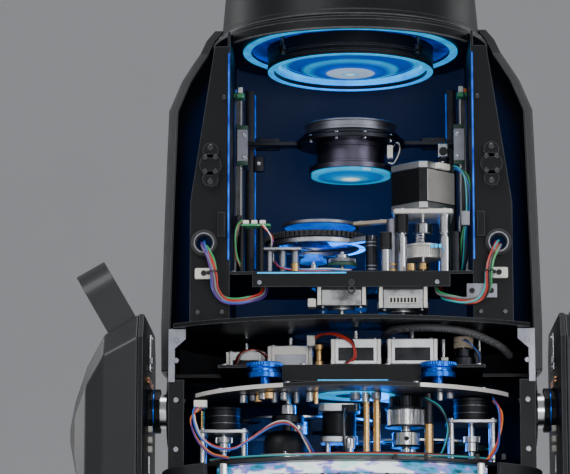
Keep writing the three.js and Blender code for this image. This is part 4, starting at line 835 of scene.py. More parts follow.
class BeamLightSizes(bpy.types.PropertyGroup):
    """Sizes and numbers of the small parts that ride on the frame."""

    sleeve: bpy.props.FloatProperty(
        name="Braided sleeve", description="Radius of the braided sleeve", unit="LENGTH", min=0.001, max=0.006,
        default=0.0032)
    vanes: bpy.props.IntProperty(
        name="Fan blades", description="Number of blades of the cooling fan", min=5, max=13, default=7)
    teeth: bpy.props.IntProperty(
        name="Prism teeth", description="Number of teeth of the prism ring", min=24, max=96, default=64)


class BeamLightStage(bpy.types.PropertyGroup):
    """The room that the light stands in."""

    paper: colour_setting("Paper", "Colour of the floor and backdrop", (0.78, 0.78, 0.79))
    away: bpy.props.FloatProperty(
        name="Camera distance", description="How far in front of the pan axis the camera stands", unit="LENGTH",
        min=1, max=6, default=2.443)
    high: bpy.props.FloatProperty(
        name="Camera height", description="Height of the camera above the floor", unit="LENGTH",
        min=0.05, max=2, default=0.128)
    pitch: bpy.props.FloatProperty(
        name="Camera pitch", description="How far the camera looks up", subtype="ANGLE", unit="ROTATION",
        default=math.radians(9.92))
    yaw: bpy.props.FloatProperty(
        name="Camera turn", description="How far the camera is turned to the left", subtype="ANGLE", unit="ROTATION",
        default=math.radians(1.33))
    focal: bpy.props.FloatProperty(
        name="Focal length", description="Focal length in millimetres on a 36 mm sensor", min=30, max=400,
        default=182.4)
    key: bpy.props.FloatProperty(
        name="Key light", description="Power of the main soft light", unit="POWER", min=0, max=1000, default=40)
    glow: bpy.props.FloatProperty(
        name="Inner light", description="Power of the blue lights inside the head", unit="POWER",
        min=0, max=50, default=0.16)


class BeamLightStep:
    """What every operator here shares."""

    bl_options = {"REGISTER", "UNDO"}

    def execute(self, context):
        self.build()
        return {"FINISHED"}


class BEAM_OT_stage(BeamLightStep, bpy.types.Operator):
    """Pale paper sweep, soft studio lights and the camera"""

    bl_idname = "beam_light.stage"
    bl_label = "Stage and camera"

    def build(self):
        room, scene = bpy.context.scene.beam_light_stage, bpy.context.scene
        # Sweep: flat floor, a quarter circle, then an upright wall; the path runs front to back
        turn = np.linspace(0, TURN / 4, 16)
        bend = np.column_stack([10 + 2 * np.sin(turn), 2 - 2 * np.cos(turn)])
        path = np.vstack([[-14.0, 0.0], bend, [12.0, 9.0]])
        across = np.broadcast_to(np.linspace(-14, 14, 3)[:, None], (3, len(path)))
        points = np.stack([across, *np.broadcast_to(path.T[:, None], (2, 3, len(path)))], -1)
        number = np.arange(3 * len(path)).reshape(3, -1)
        faces = np.stack([number[:-1, :-1], number[1:, :-1], number[1:, 1:], number[:-1, 1:]], -1).reshape(-1, 4)
        mesh = bpy.data.meshes.new("paper_sweep")
        mesh.from_pydata(points.reshape(-1, 3).tolist(), [], faces.tolist())
        mesh.shade_smooth()
        mesh.materials.append(finish("paper"))
        place("paper_sweep", mesh)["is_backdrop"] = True
        for name, at, aim, size, share in (
            ("Key", (-1.5, -2.0, 2.2), 0.5, (1.4, 1.4), 1), ("Fill", (1.9, -1.8, 1.2), 0.5, (1.2, 1.6), 0.45),
            ("Low front", (0.3, -2.2, 0.3), 0.42, (0.8, 0.5), 0.3),
            ("Left edge", (-1.6, 0.9, 0.9), 0.5, (0.5, 1.8), 0.25),
            ("Right edge", (1.6, 0.9, 0.9), 0.5, (0.5, 1.8), 0.25), ("Top", (0, -0.4, 2.6), 0.5, (1.4, 1.0), 0.6),
        ):
            lamp = bpy.data.lights.new(name, "AREA")
            lamp.shape, lamp.size, lamp.size_y, lamp.energy = "RECTANGLE", *size, room.key * share
            made = place(name, lamp)
            made.location = at
            made.rotation_euler = (Vector((0, 0, aim)) - Vector(at)).to_track_quat("-Z", "Y").to_euler()
        scene.world = scene.world or bpy.data.worlds.new("Room")
        scene.world.use_nodes = True
        sky = scene.world.node_tree
        fill(sky, sky.nodes["Background"], {"Color": (0.86, 0.88, 0.92, 1), "Strength": 0.4})
        camera = place("Camera", bpy.data.cameras.new("Camera"))
        camera.data.lens, camera.data.sensor_width = room.focal, SENSOR
        camera.data.clip_start, camera.data.clip_end = 0.1, 50
        camera.location = (0, -room.away, room.high)
        camera.rotation_euler = (TURN / 4 + room.pitch, 0, room.yaw)
        scene.camera = camera
        # Blue lights inside the head, the first two kept out of mirror images
        for name, at, share, size, mirrored in (
            ("Glow upper", (0, 0.05, 0.675), 1.5, 0.05, False), ("Glow zoom", (0, 0.06, 0.585), 1.6, 0.04, False),
            ("Glow tray", (0, 0.03, 0.528), 1, 0.02, True), ("Glow wheels", (0.02, 0.0, 0.403), 1.3, 0.02, True),
            ("Glow floor", (0.03, -0.02, 0.363), 1.6, 0.03, True),
        ):
            lamp = bpy.data.lights.new(name, "POINT")
            lamp.energy, lamp.color, lamp.shadow_soft_size = room.glow * share, (0.0, 0.2, 1.0), size
            made = place(name, lamp)
            made.location, made.visible_glossy = at, mirrored
            made.parent = frame["bodies"]["head"]


# ---------------------------------------------------------------- the covers


COVER_ROWS = np.array([
    # height, half width, depth behind the axis, wall
    (350.3, 160.0, 148.0, 3), (437.8, 161.6, 148.0, 3), (476.1, 162.0, 148.0, 3), (570, 159.6, 146.9, 3),
    (663.8, 156.5, 145.0, 3), (690, 145.6, 138.6, 3), (706, 135.6, 133.6, 3), (714.9, 129.6, 130.2, 3),
    (726.2, 124.4, 125.1, 3), (735.0, 117.0, 116.9, 2),
])
# height, half width, half depth of the lamp house
HOUSE_ROWS = np.array([(215, 102.5, 96.5), (216.5, 104.5, 98.5), (237, 132, 120), (315, 158, 145.6), (350, 160, 148)])


def bulge(value):
    """Share of a half size that a superellipse reaches at a cosine or sine, whose sign is kept."""
    return np.sign(value) * np.abs(value) ** (2 / POWER)


def oval(wide, deep, turn):
    """Points of a superellipse at the given angles."""
    return np.column_stack([wide * bulge(np.cos(turn)), deep * bulge(np.sin(turn))])


def cover_loop(height, wide, deep, wall, front):
    """Half of a superellipse round the back, run forward to the front edge, then the same drawn in by the wall."""
    turn = np.linspace(0, TURN / 2, 40)

    def half(inset):
        x, y = oval(wide - inset, deep - inset, turn).T
        y = np.maximum(y, front)
        limit = (wide - inset) * (1 - (np.clip(y, 0, deep - inset) / (deep - inset)) ** POWER) ** (1 / POWER)
        return np.column_stack([np.where(y <= front, np.sign(x) * limit, x), y])

    outer, inner = half(0), half(wall)[::-1]
    start, end, lip = [outer[0]], [outer[-1]], [(inner[0][0], front)] * 3
    if front < 0:
        start, end = [(wide, front)], [(-wide, front)]
        lip = [(wall - wide, front + 8), (7 - wide, front + 8), (7 - wide, front)]
    return lift(np.concatenate([start, outer, end, lip[::-1], inner, [(-x, y) for x, y in lip]]), height)


def mean_rows(table, heights):
    """Values of a table between its rows, along straight lines."""
    return np.column_stack([heights] + [np.interp(heights, table[:, 0], column) for column in table.T[1:]])


class BEAM_OT_covers(BeamLightStep, bpy.types.Operator):
    """Rear cover of the head with its light rim, and the lamp house below it"""

    bl_idname = "beam_light.covers"
    bl_label = "Rear cover and lamp house"

    def build(self):
        low = [cover_loop(*row, 42) for row in COVER_ROWS[:2]]
        heights = [437.8, *np.linspace(476, 664, 5), 680, 690, 700, 706, 711, 715, 721, 726.2, 731, 735]
        rows = mean_rows(COVER_ROWS, np.array(heights))
        shell = skin(np.stack(low + [cover_loop(*row, -10) for row in rows]))
        dress("head_rear_cover", [
            ("shell plastic", shell), ("cover inside", self.lining(rows)), ("cover rim", self.rim(-10.3, 0.9, 6.4)),
            ("rubber", self.rim(-10.25, 6.9, 8.1)), ("black cast", self.rim(-10.35, 2.2, 2.7)),
        ], "head", ["rear_cover"], 24)
        self.house()

    def lining(self, rows):
        """Black inner face: a thin skin that follows the cover's inner wall 0.4 mm inside it."""
        turn = np.linspace(0.07, TURN / 2 - 0.07, 181)
        loops = []
        for z, wide, deep, wall in rows[rows[:, 0] < 728]:
            near, far = (lift(oval(wide - wall - 0.4 - d, deep - wall - 0.4 - d, turn), z) for d in (0, 0.8))
            loops.append(np.concatenate([near, far[::-1]]))
        return skin(np.stack(loops))

    def rim(self, front, near, far):
        """Flat band on the cover's front edge between two distances in from its outer face, on both sides."""
        heights = [440, *np.linspace(476, 664, 4), 680, 690, 700, 706, 711, 714]
        z, wide = mean_rows(COVER_ROWS, np.array(heights)).T[:2]
        corners = [(wide - near, front), (wide - near, -9.8), (wide - far, -9.8), (wide - far, front)]
        band = skin(np.stack([np.column_stack([x, np.full_like(z, y), z]) for x, y in corners], 1))
        return join(band, mirror(band))

    def louvres(self, heights, reach, corners):
        """Bars along the lamp house's back, whose four corners stand off its superellipse by fixed steps."""
        bars = []
        for z, wide, deep in mean_rows(HOUSE_ROWS, heights):
            x = np.linspace(-reach, reach, 25)
            y = deep * (1 - np.abs(x / wide) ** POWER) ** (1 / POWER)
            bars.append(skin(np.stack([np.column_stack([x, y + dy, np.full(25, z + dz)]) for dy, dz in corners], 1)))
        return join(*bars)

    def house(self):
        """Lamp house: a superellipse whose half sizes grow upwards, with louvres on its back."""
        sill, turn = 327.0, np.arange(96) / 96 * TURN
        rows = mean_rows(HOUSE_ROWS, np.array([215, 216.5, 221, 228, 237, 260, 290, 315, sill]))
        outer = [lift(oval(wide, deep, turn), z) for z, wide, deep in rows]
        inner = [lift(oval(wide - 3, deep - 3, turn), max(z, 218)) for z, wide, deep in rows[::-1]]
        mouth = [lift(circle(58, 96), z) for z in (218, 215)]
        # Above the mouth's sill the wall runs only from one side of the mouth round the back to the other
        part = np.linspace(-0.817, TURN / 2 + 0.817, 110)
        crown = [
            lift(np.concatenate([oval(wide, deep, part), oval(wide - 3, deep - 3, part)[::-1]]), z)
            for z, wide, deep in mean_rows(HOUSE_ROWS, np.array([sill, 335, 343, 350]))
        ]
        guard = [rod(20, 215, 217.6, count=40, edge=0.8)]
        guard += [pipe(r + 1.2, r - 1.2, 215.2, 217.4, count=64) for r in (31, 44)]
        bars = [block((-59, -1.5, 215.3), (59, 1.5, 217.5), 0.5), block((-1.5, -59, 215.3), (1.5, 59, 217.5), 0.5)]
        slots = self.louvres([255, 275, 295, 315], 54, ((0.5, 0), (0.5, 8), (-2, 8), (-2, 0)))
        blades = [257, 261, 277, 281, 297, 301, 317, 321]
        heads = copies(lay(cap_screw(3.2, 2), (0, 0, 0), LIE["z"] * (1, 1, -1)),
            [(78, 40, 215), (-78, 40, 215), (78, -40, 215), (-78, -40, 215)])
        dress("lamp_housing", [
            ("shell plastic", skin(np.stack(outer + inner + mouth), True), skin(np.stack(crown))),
            ("black cast", *guard, *bars), ("cover inside", slots),
            ("shell plastic", self.louvres(blades, 53, ((1.6, -0.6), (1.6, 0.2), (-1, 2.4), (-1, 1.6)))),
            ("bright steel", heads),
        ], "head", ["lamp_house"], 28)


ARM_ROWS = np.array([
    # how far out, heights of foot, knee, shoulder and crown, half depths of foot, middle and crown, as shares
    (0, 0, 0.16, 0.93, 1, 0.72, 1, 0.84), (0.48, 0.03, 0.18, 0.88, 0.944, 0.64, 0.95, 0.8),
    (0.73, 0.23, 0.36, 0.8, 0.86, 0.5, 0.82, 0.66), (0.91, 0.57, 0.62, 0.72, 0.77, 0.4, 0.6, 0.45),
    (1, 0.645, 0.66, 0.69, 0.71, 0.2, 0.3, 0.22),
])
ARM_IN, ARM_OUT, ARM_LOW, ARM_TOP, ARM_DEEP = 176.8, 237.0, 180.3, 479.0, 80.0


class BEAM_OT_arms(BeamLightStep, bpy.types.Operator):
    """Covers of the yoke's two arms and the carrying handles on their crowns"""

    bl_idname = "beam_light.arms"
    bl_label = "Arm covers and handles"

    def arm(self):
        """Eight-cornered rows that shrink outwards; each corner's height and depth is a share of the arm's."""
        out, foot, knee, shoulder, crown, half_foot, half_middle, half_crown = ARM_ROWS.T
        high = lambda share: ARM_LOW + share * (ARM_TOP - ARM_LOW)
        x = ARM_IN + out * (ARM_OUT - ARM_IN)
        corners = [
            (-half_foot, foot), (half_foot, foot), (half_middle, knee), (half_middle, shoulder),
            (half_crown, crown), (-half_crown, crown), (-half_middle, shoulder), (-half_middle, knee),
        ]
        rows = np.stack([np.column_stack([x, ARM_DEEP * y, high(z)]) for y, z in corners], 1)
        return skin(rows)

    def handle(self):
        """A channel with two raised lips, carried along an arch that leans out with the arm's crown."""
        out, crown = ARM_ROWS[:2, 0], ARM_ROWS[:2, 4]
        x, z = ARM_IN + out * (ARM_OUT - ARM_IN), ARM_LOW + crown * (ARM_TOP - ARM_LOW)
        lean = math.atan2(z[0] - z[1], x[1] - x[0])
        bend = np.linspace(0, TURN / 4, 8)
        corner = np.column_stack([-36 - 16 * np.cos(bend), 36 + 16 * np.sin(bend)])
        half_path = np.vstack([[-52, 0.3], [-52, 12], [-52, 24], corner - (0, 2), [-20, 50], [0, 50]])
        path = np.vstack([half_path, half_path[-2::-1] * (-1, 1)])
        path = np.column_stack([np.zeros(len(path)), path])
        outline = np.array([(-13.5, 0), (-11, 0), (-10.4, 2.5), (10.4, 2.5), (11, 0), (13.5, 0), (13.5, 8.5),
            (-13.5, 8.5)])
        band = strap(path, outline * (1, -1), (1, 0, 0))
        feet = [block((-13.5, y - 8, 0.3), (13.5, y + 8, 5.5), 3, 1.2, 4) for y in (-44, 44)]
        shape = join(band, *feet)
        cos, sin = math.cos(lean), math.sin(lean)
        axes = np.array([[cos, 0, -sin], [0, 1, 0], [sin, 0, cos]])
        return lay(shape, ((x[0] + x[1]) / 2, 0, (z[0] + z[1]) / 2), axes)

    def build(self):
        arm, handle = self.arm(), self.handle()
        for side, sign in SIDES:
            for name, shape, node, sharp, bevel in (
                ("arm_shell", arm, "arm_cover", 20, 1.8), ("carry_handle", handle, "handle", 30, 0.6),
            ):
                rows = [("shell plastic", on_side(shape, sign))]
                dress(f"{side}_{name}", rows, "yoke", [f"{side}_{node}"], sharp, bevel)


# ---------------------------------------------------------------- the front of the head


class BEAM_OT_hood(BeamLightStep, bpy.types.Operator):
    """Light shade, lens barrel and the front lens"""

    bl_idname = "beam_light.hood"
    bl_label = "Hood and front lens"

    def build(self):
        low, top, floor = 721.3, 778.0, 736.0
        shade = turned([
            (112, low), (113.4, low + 0.8), (114, low + 2.4), (114, low + 3.6), (113, low + 6.6), (111.7, low + 7.6),
            (111.2, low + 9), (107.6, top - 5), (105.6, top - 2.4), (104.4, top - 0.6), (103.4, top), (101, top),
            (100.2, top - 0.6), (100, top - 2), (103.5, floor + 6), (103.2, floor + 6), (72, floor + 6),
            (66, floor + 5.5), (64, floor + 6), (64, low - 8), (66.5, low - 8), (66.5, low - 21.3),
            (70.7, low - 21.3), (71.5, low - 20.4), (71.5, floor), (108, floor), (108, low + 0.6),
        ], 120)
        ribs = [pipe(71.9, 70.5, z, z + 1.4, count=96) for z in (703, 708)]
        seam = pipe(114.05, 112.6, low + 2.6, low + 3.2, count=120, edge=0.1)
        rows = [("powder coat", shade), ("dark anodised", *ribs), ("cover rim", seam)]
        dress("light_shade", rows, "head", ["front_hood"], 30)
        dress("front_lens_glass", [("front lens", lens(66.2, 4, 6, 9, 707))], "head", ["front_lens"])
        # Painted light: a ring that glows cyan round the front lens, standing for its lit rim
        ring = pipe(66.4, 62.2, 703.2, 706.9, count=96, edge=0.5)
        dress("front_lens_glow_ring", [("glow cyan", ring)], "head")


class BEAM_OT_head_frame(BeamLightStep, bpy.types.Operator):
    """Top ring, rails and the fittings of the two side frames"""

    bl_idname = "beam_light.head_frame"
    bl_label = "Head frame"

    def build(self):
        ring = pipe(119, 86, 718, 721, count=120, edge=0.4)
        bow = np.linspace(-TURN / 4 - 0.98, -TURN / 4 + 0.98, 56)
        lip = bent_bar(119, 116, bow, 710, 718.3, 0.4)
        edge = bent_bar(119.1, 117, bow, 710.2, 711.3, 0.2)
        dress("top_ring", [("powder coat", ring, lip), ("cover rim", edge)], "head", ["top_plate"])
        # Painted light under the top ring: a deep blue annulus and a cyan ring that glow, standing for blue light on
        # the ring's underside
        lit = pipe(86, 72, 719.6, 720.4, count=96, edge=0.2)
        halo = pipe(93, 86.2, 716.6, 717.9, count=120, edge=0.3)
        clip = join(
            block((-4.4, -86, 705.5), (4.4, -79.5, 709.5), 2), rod(1.8, 703, 718, (0, -82.7), 16),
            rod(3, 702.2, 705.4, (0, -82.7), 6, 0.5),
        )
        clips = [swung(clip, angle) for angle in (-44, 44, 136, 224)]
        # Painted light: a cyan ring that glows under the lens seat
        under = pipe(71.6, 66.3, 699.4, 700.2, count=96, edge=0.3)
        dress("lens_seat_light", [("glow deep", lit), ("black screw", *clips), ("glow cyan", under, halo)], "head")
        for side, s in SIDES:
            outline = np.array([
                (93, -4.5), (100.6, -4.5), (100.6, 4.5), (93, 4.5), (93, 2.1), (95.4, 1.3), (95.4, -1.3), (93, -2.1),
            ]) * (s, 1)
            steel = slab(outline[::s], TRAY, 674.8, 0.3)
            hole = lay(rod(1.5, 0, 0.5, count=12, edge=0.1), (0, 0, 0), "x")
            holes = copies(hole, [(s * 95.3 - 0.2, 0, z) for z in range(524, 672, 16)])
            tracks = [block((s * x, -4.7, 513.2), (s * (x + 1.5), -4.3, 674.4), 0.3, 0.1, 1) for x in (93.7, 98.4)]
            rows = [("deck grey", steel), ("dark anodised", holes), ("bright steel", *tracks)]
            dress(f"{side}_slide_rail", rows, "head", [f"{side}_rail"])
            self.fittings(side, s)

    def fittings(self, side, s):
        """Star pad with its screws, rubber grommet, wire clamps, posts behind the rail and small brackets."""
        corners = ((-4.3, -6), (4.3, -6), (-4.3, 6), (4.3, 6))
        star = screws([(s * (117 + dx), -86.1, 602 + dz) for dx, dz in corners], radius=2.2, high=1.5)
        discs = ((9.2, 602), (6.6, 590), (6.6, 614))
        pad = [lay(rod(radius, 0, 1.2, count=32), (s * 117, -84.2, z), "front") for radius, z in discs]
        ends = screws([(s * 117, -85.6, 587.5), (s * 117, -85.6, 616.5)], radius=2.4, high=1.4)
        ring = lay(pipe(11.2, 6.4, -0.6, 3.4, count=40, edge=1.1), (s * 122, -81.6, 536), "front")
        # Painted highlight: a grey ring on the grommet's face
        painted_shine = lay(pipe(8.6, 7.4, 3.2, 3.8, count=40, edge=0.2), (s * 122, -81.6, 536), "front")
        clamp = block((s * 123 - 6.5, -86, 505.6), (s * 123 + 6.5, -82.1, 514.6), 1.8, 0.8, 3)
        tie = block((s * 116.5 - 3, -88.5, 509), (s * 116.5 + 3, -82.1, 512), 0.8)
        heads = screws([(s * 122, -86, 510.2)], radius=2.4, high=1.2)
        low = screws([(s * x, -82.1, z) for x, z in ((127, 478), (107, 478), (106, 660))], radius=1.9, high=1.1)
        rows = [
            ("powder coat", *pad, block((s * 104.5, -84.6, 541), (s * 111, -82, 562), 0.6)), ("rubber", ring),
            ("satin grey", painted_shine), ("black screw", star, ends, low), ("nylon", clamp), ("rubber", tie, heads),
        ]
        # Upright post behind the rail, its lit edge painted as a glowing block, the optical switch at the top and its
        # lead
        post = block((s * 83, 16, 512.8), (s * 91.4, 24, 688), 1)
        lit = block((s * 82.4, 15.4, 530), (s * 83.6, 16.6, 684), 0.3)
        switch = block((s * 91.5, -9, 676), (s * 100.6, 3, 680), 0.6)
        plug = block((s * 93, -11, 680), (s * 97, -7, 685), 0.5)
        diode = block((s * 97.5, -10, 680), (s * 100, -6, 683.5), 0.5)
        # Painted light: a thin glowing strip down the side frame's inner edge, standing for blue light on that edge
        strip = block((s * 101.2, -82.4, 522), (s * 102.6, -81.9, 698), 0.3, 0.1, 1)
        hook = block((s * 75, 12, 615), (s * 84, 15.9, 629), 1.5, 0.6, 3)
        small = block((s * 61, 12, 634), (s * 83, 15.9, 645), 1.5, 0.6, 3)
        pins = screws([(s * 79.5, 11.8, 622), (s * 65, 11.8, 639.5), (s * 76, 11.8, 639.5)], radius=1.9, high=1.4)
        rows += [
            ("dark anodised", post, hook, small), ("glow edge", lit, strip), ("board", switch), ("nylon", plug),
            ("wire orange" if s > 0 else "wire blue", diode), ("bright steel", pins),
        ]
        if s < 0:
            rows.append(("dark anodised", block((-99.5, -13.5, 560), (-93.5, -5, 572), 0.8)))
        else:
            stay = block((95, -85, 489), (120.5, -82.1, 501), 1.2)
            rows.append(("satin grey", stay, block((91.5, -84.6, 550), (98.5, -78, 562), 0.8)))
            rows.append(("rubber", screws([(99.5, -85.1, 495), (115.5, -85.1, 495)], radius=2.3)))
        dress(f"{side}_frame_fittings", rows)
        route = [
            (s * 97, -8, 683), (s * 98.8, -9.2, 674), (s * 99.6, -8.8, 660), (s * 99.6, -8.4, 600),
            (s * 99.4, -8.6, 560), (s * 97.5, -12, 530), (s * 90, -40, 514.8),
        ]
        dress(f"{side}_switch_lead", ribbon(route, wire("blue black black"), 0.45, 0.8))


class BEAM_OT_zoom(BeamLightStep, bpy.types.Operator):
    """Zoom carriage with its lens, and the motor that drives it"""

    bl_idname = "beam_light.zoom"
    bl_label = "Zoom drive"

    def build(self):
        tube_wall = turned([
            (34.4, 610), (35.6, 610), (36, 610.4), (36, 614.6), (35.6, 615), (30.6, 615), (30, 615.6), (30, 618),
            (29.4, 618.4), (29.4, 630), (30, 630.4), (30, 634), (30, 638), (30, 642.5), (27, 642.5), (27, 612.3),
            (34.4, 612.3),
        ], 96)
        ring = pipe(47, 29.5, 634.2, 638, count=120, edge=0.4)
        lower = pipe(43, 29.5, 639, 641.6, count=96, edge=0.3)
        crown = turned([
            (27, 642.5), (39.4, 642.5), (40, 643.2), (40, 645), (38.6, 645.6), (38.6, 650), (39.8, 650.4),
            (39.8, 651.4), (39.2, 652), (28, 652), (27, 651),
        ], 96)
        shoes = []
        for sign in (-1, 1):
            outline = np.array([
                (88.5, -12), (97.4, -12), (97.4, -4.9), (92.5, -4.9), (92.5, 4.9), (97.4, 4.9), (97.4, 12), (88.5, 12),
            ]) * (sign, 1)
            shoes.append(slab(outline[::sign], 616, 651, 0.5))
            shoes.append(block((sign * 42, -7, 634.2), (sign * 89, 7, 637.8), 0.6))
        caps = [block((s * 88.2, -12.2, z), (s * 97.5, -5.2, z + 4), 0.6) for s in (-1, 1) for z in (615.9, 647)]
        near = ((-34, -26), (34, -26), (-12, -41), (12, -41))
        heads = join(
            screws([(x, y, 638) for x, y in (*near[:2], (-42, 10), (42, 10), *near[2:])], "z", 2, 1.4),
            screws([(x, y, 633.9) for x, y in near], "down", 1.9, 1.2),
            screws([(s * 91.4, -12.1, z) for s in (-1, 1) for z in (623, 643)], "front", 1.8, 1),
        )
        block_right = block((74.5, -13.5, 622), (84, -7.2, 634), 1.4, 0.7, 3)
        knob = lay(rod(3.6, 0, 2.2, count=28, edge=0.6), (79.3, -13.5, 627), "front")
        plug = block((31, -27, 619), (36, -20, 630), 0.7)
        route = [(35.8, -24, 629), (40, -27, 632), (42, -26, 626), (37, -22, 615.5), (32, -20, 616)]
        loops = ribbon(route, wire("white black"), 0.6, 1.0, 5)
        dress("zoom_slide", [
            ("purple grey", tube_wall), ("dark anodised", ring, lower, *shoes[1::2]),
            ("satin grey", crown, *shoes[::2]), ("shell green", *caps), ("bright steel", heads, block_right),
            ("rubber", knob), ("nylon", plug), *loops,
        ], "zoom_carriage", ["zoom_carriage"])
        glass = lens(34.1, 7.6, 4.5, 2, 607.2)
        dress("zoom_glass", [("zoom lens", glass)], "zoom_carriage", ["zoom_lens"])
        self.motor()

    def motor(self):
        """Motor turned corner-on to the front, on a square plate with four pillars; pulley and hub on its shaft."""
        x, y = 60.5, -48
        rows = stepper(x, y, 42.3, 566.5, 606.8, -1, 45)
        square = slab(rounded(25, 25, 3, 3, (x, y)), 562.4, 566.3, 0.5)
        columns = []
        for cx, cy, _ in around(x, y, 18, 0):
            columns.append(turned([
                (0, TRAY), (4.5, TRAY), (4.5, 543), (3.4, 544.2), (3.4, 545.4), (4.5, 546.4), (4.5, 562.4), (0, 562.4),
            ], 20, (cx, cy)))
        sleeves = [pipe(5.4, 4.4, 546.4, 562.2, (cx, cy), 24, 0.2) for cx, cy, _ in around(x, y, 18, 0)]
        heads = screws(around(x, y, 18, 566.3), "z", 2.4, 1.5)
        plug = swung(block((x - 7, y - 25.6, 601), (x + 7, y - 21, 606), 0.5), 45, (x, y))
        face = swung(block((x - 16.5, y - 21.5, 573), (x + 16.5, y - 20.8, 600), 0.6, 0.2, 1), 45, (x, y))
        rows += [
            ("pale cap", square), ("motor face", face), ("bright steel", *columns, heads), ("nylon", plug),
            ("black cast", *sleeves[:2]),
        ]
        dress("zoom_drive_motor", rows, "head", ["zoom_motor"])
        shaft = rod(2.6, 514, 562, (x, y), 20)
        screw = lay(rod(1.6, 0, 0.5, count=14, edge=0.1), (x, y - 8.4, 553), "front")
        hub = join(rod(8.4, 548.4, 557.4, (x, y), 36, 0.8), screw)
        flanges = [rod(15.6, z, z + 2, (x, y), 56) for z in (537, 527)]
        wheel = join(flanges[0], gear(14.3, 1.3, 44, 529, 537, (x, y)), flanges[1])
        collar = rod(5.5, 517.5, 524, (x, y), 28, 0.6)
        turn, high = np.linspace(0, 18, 90), np.linspace(538.5, 545.5, 90)
        curl = tube(np.column_stack([57.5 + 3.4 * np.cos(turn), -66 + 1.6 * np.sin(turn), high]), 0.5, 6)
        dress("zoom_pulley", [("bright steel", shaft, hub, curl), ("pale cap", wheel), ("brass", collar)])
        route = [
            (80, -42, 604), (90, -46, 606), (97, -52, 598), (98.5, -56, 585), (97.4, -58, 566), (94, -58, 545),
            (92, -57, 525), (90, -52, 514),
        ]
        dress("zoom_leads", ribbon(route, wire("black teal blue green")))


